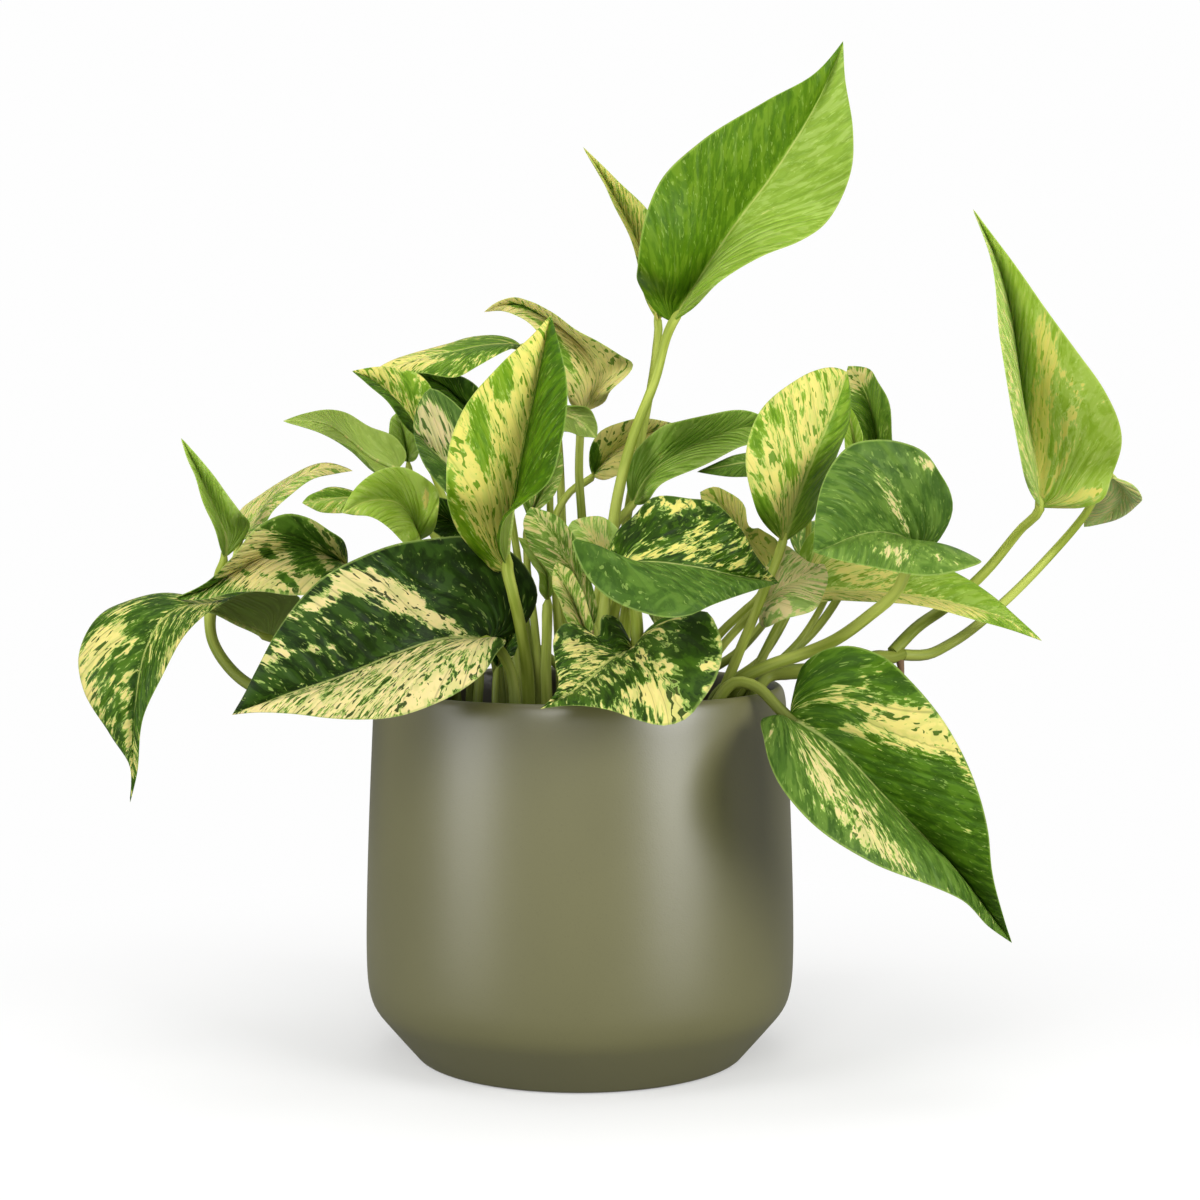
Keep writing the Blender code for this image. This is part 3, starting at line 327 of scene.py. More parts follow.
leaf("right_high", 33, bow=(2, 4),
     midrib=[(1040, 507, 0), (1033, 460, -4), (1022, 400, -6), (1012, 330, -5), (998, 270, 0),
             (973, 209, 5)],
     left=[(1030, 492), (1020, 455), (1010, 410), (1001, 340), (996, 290), (983, 235)],
     right=[(1065, 508), (1085, 507), (1102, 500), (1112, 475), (1122, 440), (1104, 390),
            (1078, 352), (1040, 300), (1000, 245)],
     stalk=[(1020, 530, 6), (985, 572, 14), (950, 604, 14), (916, 628, 6), (893, 652, 0)],
     hole=None, radii=(1.5, 2.3))
leaf("right_under", 16, lean=(FAR, FAR),
     midrib=[(1110, 476, 18), (1124, 492, 38), (1112, 510, 52), (1084, 527, 60)],
     left=[(1128, 482, 22), (1142, 498, 36), (1135, 508, 50), (1110, 521, 60)],
     right=[(1098, 480, 24), (1090, 500, 40), (1084, 515, 54)],
     stalk=[(1085, 515, 18), (1050, 556, 20), (1000, 606, 18), (952, 643, 10), (925, 655, 3),
            (904, 655, 0)],
     hole=None, radii=(1.4, 2.1))
leaf("centre", 30, bow=(3, 3),
     midrib=[(507, 566, -40), (513, 520, -47), (521, 470, -49), (530, 420, -46), (541, 365, -40),
             (551, 315, -31)],
     left=[(498, 572, -38), (480, 558, -40), (462, 538, -47), (450, 510, -58), (446, 480),
           (448, 455), (463, 410), (500, 365), (535, 332)],
     right=[(500, 540), (512, 510), (530, 498), (547, 485), (563, 440), (567, 405), (565, 370),
            (558, 340)],
     stalk=[(512, 590, -42.5), (519, 620, -40.6), (526, 660, -36)],
     hole=(-17, -30), radii=(1.8, 2.6))
leaf("arching", 21,
     midrib=[(583, 412, 28), (594, 389, 28), (596, 370, 28), (587, 350, 31), (571, 332, 34),
             (545, 316, 36), (515, 303, 38), (484, 312, 34)],
     left=[(571, 405), (566, 390), (560, 372), (550, 352), (537, 332), (520, 318), (500, 311)],
     right=[(600, 405), (612, 389), (633, 365), (621, 355), (600, 341), (575, 329), (550, 312),
            (530, 301), (512, 297), (495, 303)],
     stalk=[(580, 440, 24), (579, 470, 22), (582, 520, 20), (584, 600, 20)],
     hole=(1, 22), radii=(1.4, 2.0))
leaf("upper_left", 18, lean=(NEAR, FAR),
     midrib=[(522, 347, 44), (490, 347, 40), (463, 350, 36), (430, 357, 31), (400, 365, 26),
             (372, 372, 24)],
     left=[(510, 350), (476, 366), (458, 377), (418, 373), (390, 374)],
     right=[(508, 338), (490, 335), (470, 338), (450, 345), (410, 356), (380, 367)],
     stalk=[(545, 362, 50), (556, 420, 55), (562, 520, 54), (564, 620, 47)],
     hole=(-6, 42), radii=(1.3, 1.9))
leaf("beak", 17, lean=(NEAR, FAR),
     midrib=[(420, 436, 17), (408, 418, 15), (392, 400, 13), (372, 382, 11), (352, 371, 10)],
     left=[(412, 434), (395, 412), (370, 386), (358, 376)],
     right=[(434, 425, 14), (432, 390, 15), (418, 373, 15), (395, 368, 13), (375, 367, 10)],
     stalk=[(432, 470, 26), (470, 560, 28), (496, 640, 28)],
     hole=(-27, 28), radii=(1.2, 1.8))
leaf("dark_back", 15,
     midrib=[(490, 430, 40), (470, 412, 42), (446, 388, 42), (415, 373, 40)],
     left=[(470, 430), (445, 405), (428, 385)],
     right=[(492, 405), (478, 387), (460, 376), (440, 371)],
     stalk=[(502, 470, 42), (518, 560, 40), (528, 640, 38)],
     hole=(-17, 34), radii=(1.2, 1.8))
leaf("marbled_back", 24,
     midrib=[(482, 505, 2), (462, 482, -4), (446, 466, -6), (420, 441, -5), (414, 430, 0)],
     left=[(475, 520), (448, 497), (430, 475), (419, 452)],
     right=[(495, 480), (482, 430), (462, 410), (446, 396), (430, 388), (420, 400), (415, 415)],
     stalk=[(495, 540, 4), (508, 600, 2), (516, 660, 0)],
     hole=(-21, -4), radii=(1.4, 2.0))
leaf("olive", 18, lean=(FAR, NEAR),
     midrib=[(396, 470, 44), (375, 462, 42), (356, 446, 38), (330, 424, 32), (308, 420, 30),
             (283, 421, 28)],
     left=[(406, 458), (398, 440), (370, 426), (350, 414), (330, 410), (305, 413)],
     right=[(385, 476), (374, 470), (350, 447), (330, 436), (305, 428)],
     stalk=[(420, 510, 48), (458, 580, 46), (490, 640, 44)],
     hole=(-30, 44), radii=(1.4, 2.0))
leaf("olive_back", 11,
     midrib=[(408, 462, 67), (406, 440, 66), (398, 412, 62)],
     left=[(392, 450), (389, 430), (392, 417)],
     right=[(418, 455), (415, 434), (406, 418)],
     stalk=[(425, 510, 65), (472, 590, 60), (505, 650, 55)],
     hole=(-18, 52), radii=(1.2, 1.8))
leaf("bright", 22,
     midrib=[(412, 542, 4), (410, 520, -6), (395, 503, -14), (368, 502, -20), (342, 513, -24)],
     left=[(405, 543), (390, 529), (370, 517), (352, 515)],
     right=[(423, 538), (438, 508), (438, 490), (424, 476), (404, 467), (380, 470), (356, 487)],
     stalk=[(425, 565, 8), (452, 610, 8), (478, 660, 4)],
     hole=(-36, 0), radii=(1.4, 2.0))
leaf("under_bright", 14,
     midrib=[(470, 545, 20), (450, 520, 14), (425, 510, 10), (405, 512, 8)],
     left=[(455, 545), (430, 530), (412, 522)],
     right=[(475, 520), (450, 500), (420, 500)],
     stalk=[(480, 580, 20), (494, 640, 18)],
     hole=(-28, 16), radii=(1.2, 1.8))
leaf("small_tip", 9, lean=(NEAR, FAR),
     midrib=[(362, 500, 16), (335, 500, 12), (302, 503, 8)],
     left=[(345, 512), (320, 512)],
     right=[(350, 491), (325, 489)],
     stalk=[(385, 515, 20), (425, 570, 24), (468, 640, 26)],
     hole=(-40, 24), radii=(1.0, 1.6))
leaf("spear", 14,
     midrib=[(224, 558, 14), (217, 530, 15), (207, 495, 16), (194, 465, 18), (181, 438, 20)],
     left=[(220, 548), (211, 520), (197, 485), (188, 460)],
     right=[(234, 550), (250, 529), (240, 510), (220, 485), (200, 458)],
     stalk=[(219, 574, 16), (217, 585, 18)],
     hole=None, radii=(1.4, 1.7))
leaf("wing", 15, lean=(FAR, NEAR),
     midrib=[(240, 540, 28), (262, 510, 28), (296, 482, 26), (325, 469, 24), (353, 471, 22)],
     left=[(238, 516), (255, 498), (300, 474), (325, 463)],
     right=[(264, 528), (275, 510), (310, 481), (335, 474)],
     stalk=[(236, 560, 27), (226, 580, 22), (212, 602, 19)],
     hole=None, radii=(1.2, 1.6))
leaf("shield", 26, bow=(3, 3),
     midrib=[(347, 567, -4), (315, 552, -14), (275, 552, -22), (240, 568, -26), (205, 588, -28.6),
             (172, 599, -29.6)],
     left=[(348, 580), (325, 592), (290, 596), (260, 592), (235, 592), (200, 600)],
     right=[(347, 548), (330, 530), (310, 518), (290, 514), (260, 526), (232, 556), (205, 583)],
     stalk=[(375, 580, 2), (415, 615, 8), (445, 650, 10)],
     hole=(-44, 12), radii=(1.4, 2.1))
leaf("hanging", 31, lean=(NEAR, FAR), bow=(2, 3),
     midrib=[(270, 637, 0), (241, 626, -10), (213, 611, -22), (190, 606, -32), (165, 620, -41),
             (149, 648, -48), (138, 700, -54), (134, 760, -56), (130, 803, -54)],
     left=[(290, 625, -8), (300, 598, -14), (263, 590, -20), (241, 593, -26), (227, 601, -32),
           (213, 610, -38), (184, 637, -50), (163, 674, -58), (144, 714, -60), (137, 775, -57)],
     right=[(285, 615, 10), (262, 592, 14), (235, 589, 10), (205, 595, 0), (170, 597, -10),
            (134, 599, -24), (100, 614, -36), (79, 660, -46), (84, 690, -50), (110, 735, -52),
            (132, 772, -54)],
     stalk=[(300, 640, 3), (345, 643, 5), (395, 648, 2), (430, 668, -4)],
     hole=(-48, -6), radii=(1.6, 2.3))
leaf("big_left", 33, lean=(NEAR, FAR), bow=(3, 4),
     midrib=[(488, 641, -46), (455, 641, -54), (430, 645, -60), (395, 657, -66), (340, 680, -74),
             (280, 698, -81), (232, 715, -84)],
     left=[(499, 640), (496, 654), (478, 678), (450, 698), (430, 707), (400, 716), (360, 719),
           (330, 718), (290, 714), (250, 713)],
     right=[(512, 634, -40), (530, 618, -31), (537, 592, -25), (526, 568, -23), (505, 548, -27),
            (470, 536, -38), (430, 538, -49), (370, 553), (320, 580), (280, 626), (255, 672),
            (240, 702)],
     stalk=[(498, 648, -42), (508, 664, -40)],
     hole=(-21, -42), radii=(1.7, 2.3))
leaf("front", 28, bow=(3, 1),
     midrib=[(636, 653, -54), (610, 660, -66), (590, 676, -76), (570, 692, -86), (540, 709, -94)],
     left=[(650, 636, -52), (662, 618, -54), (686, 613, -58), (704, 610, -62), (720, 635, -70),
           (720, 668, -82), (702, 700, -94), (686, 718, -98), (666, 725, -100), (640, 721, -100),
           (614, 712, -98), (590, 707, -98), (562, 706, -96)],
     right=[(628, 638, -50), (618, 620, -50), (602, 616, -56), (598, 636, -62), (582, 625, -60),
            (566, 623, -62), (554, 638, -68), (555, 662, -76), (558, 686, -86), (550, 700, -92)],
     stalk=[(637, 630, -52), (635, 608, -46), (630, 600, -38), (625, 625, -30), (622, 665, -26)],
     hole=(14, -24), radii=(2.1, 2.4))
leaf("folded", 27, lean=(FAR, NEAR), bow=(3, 3),
     midrib=[(622, 568, -72), (640, 565, -72), (660, 565, -71), (690, 568, -68), (730, 576, -60),
             (779, 583, -48)],
     left=[(612, 560, -68), (610, 545, -62), (617, 530, -59), (634, 516), (650, 500), (688, 498),
           (716, 503), (738, 526), (755, 555)],
     right=[(604, 556, -76), (588, 546, -80), (572, 540, -84), (578, 560, -87), (590, 580, -89),
            (610, 598, -89), (640, 612, -88), (666, 618, -86), (688, 616, -83), (710, 606, -78),
            (735, 597, -69)],
     stalk=[(624, 580, -60), (617, 602, -48), (609, 640, -42)],
     hole=(8, -37), radii=(1.5, 2.1))
leaf("mottled", 22, lean=(FAR, NEAR),
     midrib=[(766, 576, -16), (752, 550, -20), (738, 526, -24), (718, 503, -26), (700, 492, -26)],
     left=[(750, 575), (730, 555), (712, 525), (702, 505)],
     right=[(779, 562, -20), (780, 545, -22), (762, 530, -28), (748, 522), (744, 506), (728, 492),
            (712, 487)],
     stalk=[(760, 596, -14), (745, 610, -12), (718, 636, -9)],
     hole=(36, -6), radii=(1.3, 1.9))
leaf("round_pale", 20,
     midrib=[(762, 604, -26), (780, 591, -30), (800, 578, -33), (824, 564, -33)],
     left=[(762, 585, -29), (770, 560, -29), (783, 545, -29), (800, 556, -32), (812, 563, -34)],
     right=[(760, 618), (785, 620), (810, 612), (823, 595), (828, 577)],
     stalk=[(752, 614, -25), (738, 628, -24), (716, 655, -22)],
     hole=(40, -18), radii=(1.3, 1.9))
leaf("cream_right", 27, lean=(NEAR, FAR), bow=(3, 2),
     midrib=[(783, 541, -34), (798, 500, -40), (815, 458, -42), (832, 415, -38), (847, 372, -26)],
     left=[(770, 530), (754, 503), (746, 465), (755, 420), (770, 400), (790, 384), (810, 372),
           (830, 367)],
     right=[(792, 536), (812, 520), (822, 490), (838, 455), (848, 425), (850, 395)],
     stalk=[(776, 562, -37), (765, 588, -38), (755, 614, -37), (738, 655, -32)],
     hole=(47, -26), radii=(1.4, 2.1))
leaf("round_dark", 20,
     midrib=[(880, 475, 26), (876, 430, 26), (866, 392, 27), (848, 366, 29)],
     left=[(862, 470), (850, 450), (845, 420), (843, 390)],
     right=[(888, 468), (893, 440), (891, 412), (880, 385), (864, 367)],
     stalk=[(873, 520, 26), (853, 570, 24), (815, 630, 18), (780, 662, 13)],
     hole=(54, 12), radii=(1.3, 1.9))
leaf("slip", 6,
     midrib=[(856, 475, 0), (854, 438, 0), (846, 401, 2)],
     left=[(846, 450), (843, 420)],
     right=[(863, 445), (857, 418)],
     stalk=[(854, 515, 8), (838, 570, 15), (800, 640, 9), (768, 672, 4)],
     hole=(56, 3), radii=(1.0, 1.5))
leaf("plain", 22,
     midrib=[(633, 504, 20), (650, 478, 18), (672, 458, 17), (705, 440, 18), (745, 427, 22),
             (778, 430, 28)],
     left=[(627, 487, 17), (631, 458, 15), (650, 435, 12), (680, 420), (710, 414), (758, 414)],
     right=[(640, 505), (665, 483), (700, 466), (740, 448), (765, 440)],
     stalk=[(619, 520, 18), (605, 560, 15), (594, 620, 11)],
     hole=(-1, 8), radii=(1.4, 2.0))
leaf("cream_small", 16,
     midrib=[(593, 476, 50), (612, 452, 49), (640, 435, 49), (680, 425, 50)],
     left=[(589, 462), (591, 446), (600, 431), (630, 420)],
     right=[(605, 480), (628, 470), (655, 452)],
     stalk=[(572, 490, 48), (556, 515, 44), (556, 580, 36), (566, 640, 32)],
     hole=(-5, 30), radii=(1.3, 1.9))
leaf("sliver", 8, lean=(NEAR, FAR),
     midrib=[(785, 462, 0), (745, 464, 2), (697, 472, 4)],
     left=[(770, 474), (735, 477)],
     right=[(770, 452), (735, 457)],
     stalk=[(800, 480, 6), (808, 540, 18), (790, 610, 16), (764, 655, 13)],
     hole=(46, 10), radii=(1.0, 1.5))
leaf("little_fold", 9,
     midrib=[(556, 412, 14), (575, 418, 12), (596, 438, 6)],
     left=[(558, 430), (575, 434)],
     right=[(566, 405), (590, 411), (597, 422)],
     stalk=[(552, 440, 13), (550, 500, 12), (556, 600, 12)],
     hole=(-7, 11), radii=(1.1, 1.6))
leaf("disc", 31, lean=(NEAR, FAR), bow=(3, 3),
     midrib=[(914, 548, -24), (897, 539, -36), (872, 535, -50), (847, 540, -62), (830, 547, -70),
             (813, 552, -76)],
     left=[(935, 552, -30), (981, 562, -44), (962, 570, -56), (930, 575, -62), (900, 573, -70),
           (860, 565, -78), (835, 559, -80)],
     right=[(928, 549), (945, 530), (953, 505), (950, 490), (942, 475), (925, 452), (900, 442),
            (875, 440), (850, 445), (835, 460), (822, 485), (816, 510), (814, 535)],
     stalk=[(908, 566, -27), (896, 592, -29), (870, 615, -29), (835, 640, -26), (800, 655, -22),
            (768, 666, -24), (740, 680, -24)],
     hole=(50, -16), radii=(1.9, 2.5))
leaf("long_tip", 24, lean=(FAR, NEAR),
     midrib=[(808, 592, 0), (850, 593, -4), (905, 597, -7), (950, 604, -7), (1000, 617, -3),
             (1042, 641, 4)],
     left=[(797, 575, 4), (800, 550, 8), (815, 530, 10), (850, 530, 8), (900, 548, 5),
           (955, 573, 3), (1000, 602, 2), (1024, 624, 3)],
     right=[(812, 602, -8), (840, 600, -18), (880, 602, -22), (950, 613, -20), (1010, 630, -6)],
     stalk=[(790, 606, -5), (776, 630, -8), (762, 658, -9)],
     hole=(54, -7), radii=(1.4, 2.0))
leaf("low_right", 31, bow=(4, 4),
     midrib=[(787, 716, -50), (812, 732, -56), (840, 753, -60), (880, 795, -62), (940, 855, -60),
             (980, 900, -56), (1012, 943, -50)],
     left=[(797, 712), (796, 690), (803, 665), (820, 652), (845, 646), (880, 655), (912, 682),
           (940, 715), (970, 770), (988, 830), (992, 870), (1003, 915)],
     right=[(780, 720), (768, 718), (764, 740), (780, 785), (815, 827), (870, 862), (930, 885),
            (958, 898), (990, 928)],
     stalk=[(773, 702, -47), (757, 687, -43), (737, 682, -40)],
     hole=(44, -38), radii=(1.8, 2.3))
leaf("inner_marbled", 12,
     midrib=[(593, 628, -30), (586, 600, -32), (571, 565, -34), (550, 532, -34), (531, 507, -30)],
     left=[(576, 615), (553, 578), (528, 543), (523, 522)],
     right=[(597, 605), (589, 570), (577, 540), (558, 517)],
     stalk=[(596, 650, -30)],
     hole=(4, -30), radii=(1.3, 1.8))
leaf("inner_cup", 10,
     midrib=[(590, 645, -50), (577, 610, -50), (565, 585, -48), (556, 562, -44)],
     left=[(572, 628), (558, 600), (552, 578)],
     right=[(594, 625), (582, 592), (568, 568)],
     stalk=[(592, 664, -47)],
     hole=(2, -46), radii=(1.2, 1.7))
leaf("inner_light", 15,
     midrib=[(612, 592, -14), (604, 562, -14), (592, 538, -12), (572, 521, -8)],
     left=[(592, 580), (576, 555), (565, 535)],
     right=[(622, 570), (623, 540), (610, 521), (592, 516)],
     stalk=[(613, 620, -13), (612, 660, -12)],
     hole=(13, -9), radii=(1.3, 1.8))
leaf("ribbon", 5,
     midrib=[(548, 600, -24), (549, 580, -26), (537, 556, -28), (518, 537, -28)],
     left=[(540, 592), (538, 575), (528, 558)],
     right=[(554, 590), (552, 566), (535, 544)],
     stalk=[(547, 630, -24), (546, 665, -24)],
     hole=(-11, -22), radii=(1.6, 2.3))
leaf("back_sliver", 9,
     midrib=[(530, 520, 6), (545, 490, 8), (562, 452, 10)],
     left=[(522, 500), (540, 465)],
     right=[(540, 510), (557, 490), (563, 470)],
     stalk=[(527, 560, 5), (534, 620, 4)],
     hole=(-14, 4), radii=(1.2, 1.8))
leaf("low_inner", 9, bow=(1, 1),
     midrib=[(498, 668, -10), (507, 645, -10), (524, 619, -12)],
     left=[(490, 654, -13), (502, 630, -14)],
     right=[(509, 662, -14), (521, 640, -15)],
     stalk=[(496, 685, -12)],
     hole=(-29, -14), radii=(1.2, 1.6))
leaf("back_fan", 20,
     midrib=[(470, 520, 60), (455, 510, 78), (440, 520, 96), (430, 545, 108)],
     left=[(480, 500, 72), (475, 490, 90), (455, 505, 104)],
     right=[(455, 545, 70), (432, 545, 86), (425, 550, 100)],
     stalk=[(485, 570, 66), (520, 630, 64)],
     hole=(-3, 58), radii=(1.3, 2.0))
leaf("back_low", 20,
     midrib=[(620, 600, 66), (640, 585, 84), (650, 600, 104), (655, 625, 118)],
     left=[(612, 585, 80), (622, 575, 100), (640, 600, 114)],
     right=[(650, 590, 72), (670, 590, 92), (670, 612, 110)],
     stalk=[(606, 640, 56)],
     hole=(10, 50), radii=(1.3, 2.0))
leaf("back_right", 20,
     midrib=[(800, 560, 40), (830, 540, 58), (850, 545, 78), (858, 570, 92)],
     left=[(790, 535, 54), (815, 520, 72), (845, 535, 88)],
     right=[(825, 575, 50), (855, 570, 68), (868, 575, 84)],
     stalk=[(780, 600, 34), (740, 650, 30)],
     hole=(36, 28), radii=(1.3, 2.0))
leaf("back_left", 20,
     midrib=[(400, 580, 44), (370, 572, 62), (345, 590, 82), (335, 620, 96)],
     left=[(385, 600, 56), (355, 605, 76), (340, 618, 90)],
     right=[(395, 560, 58), (365, 560, 78), (340, 590, 94)],
     stalk=[(430, 610, 38), (470, 650, 36)],
     hole=(-38, 34), radii=(1.3, 2.0))
leaf("back_small", 15,
     midrib=[(560, 580, 60), (560, 560, 76), (565, 560, 92), (570, 580, 104)],
     left=[(545, 575, 72), (545, 565, 90), (558, 572, 100)],
     right=[(578, 578, 72), (582, 565, 90), (578, 575, 100)],
     stalk=[(572, 620, 52)],
     hole=(6, 38), radii=(1.2, 1.8))

LOOKS = {}
L, R, BOTH = 0, 1, 2


def look(name, shade, cast, cream, marks=(), rib=1.0, soft=1):
    """Notes the colouring of one leaf: brightness of the green on its left and right half, cast
    from grey (0) to yellow (1), and how much cream each half has, from -1 for none to 1 for all.
    Some halves are set brighter to make up for the shade they lie in, which is painted light, and
    a grey cast stands partly for painted sheen.
    A mark adds cream over an oval: (half, across, down, half length, half width, turn in degrees,
    amount), placed in the front view. rib is how much the midrib stands out, and soft how
    round the fold along it is."""
    LOOKS[name] = {
        "shade": shade, "cast": cast, "cream": cream, "marks": marks, "rib": rib,
        "soft": soft,
    }


# tall: the right half is lighter and greyer than the left partly as painted sheen.
look("tall", (0.42, 0.74), (0.95, 0.7), (-0.8, -0.62), [(R, 800, 215, 60, 12, -50, -0.3)], 0.7)
look("peek", (0.6, 0.6), 0.9, (0.25, 0.2))
look("right_high", (0.7, 0.8), (0.45, 1.0), (-0.15, -0.45), [
    (R, 1046, 345, 34, 9, 80, 0.9), (R, 1041, 408, 50, 12, 97, 0.9),
    (R, 1040, 470, 38, 8, 95, 1.0), (R, 1066, 425, 40, 5, 110, 0.8),
    (R, 1055, 475, 34, 5, 120, 0.7), (R, 1080, 497, 34, 9, -20, 0.8),
    (R, 1060, 365, 26, 4, 60, 0.6)], 0.5)
# right_under: its green is set at the brightest partly to make up for the shade it lies in:
# painted light.
look("right_under", (1.0, 1.0), 0.45, (-0.02, 0.0))
look("centre", (0.52, 0.28), 1.0, (0.4, -0.72), [
    (L, 503, 381, 22, 9, 100, -1.2), (L, 481, 437, 36, 10, 85, -1.3),
    (L, 457, 505, 34, 10, 68, -0.8), (L, 480, 548, 26, 8, 52, -0.9),
    (L, 508, 470, 14, 5, 80, -0.7), (L, 470, 400, 16, 7, 120, -0.4),
    (L, 462, 455, 20, 5, 95, -0.4)])
look("arching", (0.5, 0.45), 0.55, (0.85, 0.9), [
    (L, 562, 352, 45, 6, 60, -1.4), (BOTH, 520, 306, 40, 3, 18, -1.2),
    (BOTH, 540, 325, 30, 3, 35, -1.0)], 0.5, 4)
look("upper_left", (0.38, 0.45), 0.8, (-0.2, -0.15), [
    (BOTH, 400, 366, 35, 9, -12, 0.7), (BOTH, 435, 346, 28, 5, -20, 0.5),
    (BOTH, 480, 345, 30, 6, -5, -0.5)], soft=2)
look("beak", (0.2, 0.5), 0.9, (-0.7, 0.1), [
    (R, 410, 385, 14, 10, 60, -0.6), (R, 375, 372, 20, 5, 15, 0.5)])
look("dark_back", (0.2, 0.25), 0.6, (-0.6, -0.5))
look("marbled_back", (0.3, 0.35), 0.1, (-0.5, -0.5), [
    (R, 436, 425, 26, 15, 60, 1.15), (R, 452, 472, 40, 5, 60, 0.6),
    (R, 425, 445, 25, 5, 65, 0.6)])
look("olive", (0.66, 0.66), 0.7, (-1.1, -1.1), soft=3)
look("olive_back", (0.75, 0.75), 0.6, (-0.6, -0.6))
# bright: its green is set brighter partly to make up for the shadow on part of it: painted light.
look("bright", (0.85, 0.84), 1.0, (-0.6, -0.85), [
    (R, 427, 500, 16, 6, 80, 0.9), (BOTH, 350, 512, 20, 6, 0, 0.5),
    (R, 436, 490, 25, 3, 85, 0.7)], soft=2)
look("under_bright", (0.1, 0.1), 0.8, (-0.8, -0.8))
look("small_tip", (0.7, 0.5), 0.8, (-0.1, -0.2))
look("spear", (0.78, 0.72), 0.65, (-0.8, -0.8), soft=4)
look("wing", (0.6, 0.6), 0.5, (0.25, 0.0), [(BOTH, 325, 470, 30, 8, 0, 0.5)])
look("shield", (0.26, 0.26), 0.5, (-0.34, -0.34), [
    (BOTH, 306, 540, 34, 15, 35, -0.35), (BOTH, 250, 556, 40, 30, 50, 1.2),
    (BOTH, 292, 582, 54, 13, 12, 1.0), (BOTH, 330, 541, 40, 4, 55, 1.1),
    (BOTH, 322, 556, 26, 5, 52, 0.7), (BOTH, 268, 553, 9, 4, 20, -1.8),
    (BOTH, 250, 547, 6, 3, 20, -1.6), (BOTH, 264, 575, 13, 5, 20, -1.8),
    (BOTH, 287, 580, 15, 5, 40, -2.0), (BOTH, 245, 572, 9, 4, 40, -1.6)], 0.0, 5)
look("hanging", (0.2, 0.2), 0.65, (-0.22, -0.22), [
    (BOTH, 102, 645, 48, 13, -50, 0.6), (BOTH, 90, 695, 28, 9, 60, 0.55),
    (BOTH, 185, 640, 40, 7, -50, 0.5), (BOTH, 215, 600, 30, 12, 0, 0.35),
    (BOTH, 130, 735, 30, 5, 80, 0.5), (BOTH, 148, 660, 40, 5, 110, 0.35),
    (BOTH, 140, 690, 60, 9, 100, -0.4), (BOTH, 135, 615, 45, 6, -15, -0.4),
    (BOTH, 262, 615, 40, 26, 15, -1.2)])
look("big_left", (0.12, 0.06), 0.3, (0.17, -0.5), [
    (L, 495, 655, 14, 5, 110, -1.3), (L, 470, 690, 40, 5, 150, -0.3),
    (R, 454, 628, 30, 10, 33, 0.85), (R, 420, 608, 34, 12, 35, 0.8),
    (R, 386, 590, 36, 13, 36, 0.75), (R, 352, 580, 32, 12, 20, 0.8),
    (R, 330, 594, 26, 8, -25, 0.6), (R, 300, 612, 45, 6, -17, 0.5), (R, 345, 622, 60, 4, 5, 0.4),
    (R, 310, 650, 50, 5, -8, 0.5), (R, 272, 655, 30, 12, -60, 0.4),
    (R, 470, 590, 60, 38, 40, -0.9), (R, 380, 556, 60, 6, -18, -0.6)], 0.8)
look("front", (0.1, 0.1), 0.65, (-0.1, -0.1), [
    (BOTH, 660, 668, 24, 10, 38, 0.55), (BOTH, 655, 698, 36, 10, 15, 0.55),
    (BOTH, 572, 648, 18, 9, 30, 0.5), (BOTH, 694, 640, 22, 26, 0, -0.75),
    (BOTH, 614, 632, 16, 16, 0, -0.7), (BOTH, 612, 690, 20, 6, -30, -0.5),
    (BOTH, 655, 660, 25, 5, 60, -0.5), (BOTH, 566, 630, 10, 8, 0, -0.5)])
look("folded", (0.1, 0.31), (0.95, 0.3), (-0.22, -1.3), [
    (L, 672, 505, 18, 5, 10, 0.6), (L, 645, 556, 30, 5, -15, 0.5), (L, 700, 540, 35, 6, -25, 0.4),
    (L, 625, 540, 18, 8, 110, -0.7), (L, 665, 530, 18, 8, 30, -0.4)], 0.4)
# mottled: its colouring is set brighter partly to make up for the shade it lies in: painted light.
look("mottled", (0.62, 0.66), 0.9, (0.6, 0.55), rib=1.6)
look("round_pale", (0.66, 0.62), 0.25, (0.26, 0.22), [(BOTH, 792, 612, 40, 9, -15, -0.3)])
look("cream_right", (0.52, 0.56), 0.85, (0.22, -0.9), [
    (L, 766, 512, 26, 9, 62, -0.9), (L, 777, 416, 12, 6, 70, -0.8),
    (L, 790, 469, 12, 6, 80, -0.8), (L, 757, 440, 30, 7, 95, -0.4)], 1.5)
look("round_dark", (0.4, 0.45), 0.6, (-0.5, -0.6), [(BOTH, 855, 378, 24, 12, -20, 1.1)])
look("slip", (0.7, 0.7), 0.9, (-0.6, -0.6))
look("plain", (0.6, 0.64), 0.5, (-1.0, -1.0), [(BOTH, 662, 455, 12, 6, -50, 0.8)], 0.6, 4)
look("cream_small", (0.35, 0.35), 0.7, (0.5, 0.5), [(BOTH, 594, 456, 18, 7, 90, -1.3)])
look("sliver", (0.5, 0.5), 0.4, (-0.8, -0.8))
look("little_fold", (0.5, 0.45), 0.3, (-0.4, -0.4), [(BOTH, 578, 420, 14, 3, 50, 0.8)])
# disc: its grey cast is partly painted sheen.
look("disc", (0.44, 0.36), 0.25, (-0.8, -0.85), [
    (R, 886, 486, 32, 11, 66, 0.8), (R, 902, 522, 28, 8, 64, 0.8), (R, 922, 462, 24, 9, 40, 0.95),
    (L, 893, 553, 24, 12, 20, 0.85), (L, 940, 560, 26, 6, 15, 0.6)], 0.3)
look("long_tip", (0.64, 0.58), 0.85, (-0.4, 0.32), [
    (L, 860, 570, 55, 20, 10, 0.7), (L, 970, 590, 50, 10, 20, -0.3),
    (R, 1010, 632, 35, 10, 25, -0.9)])
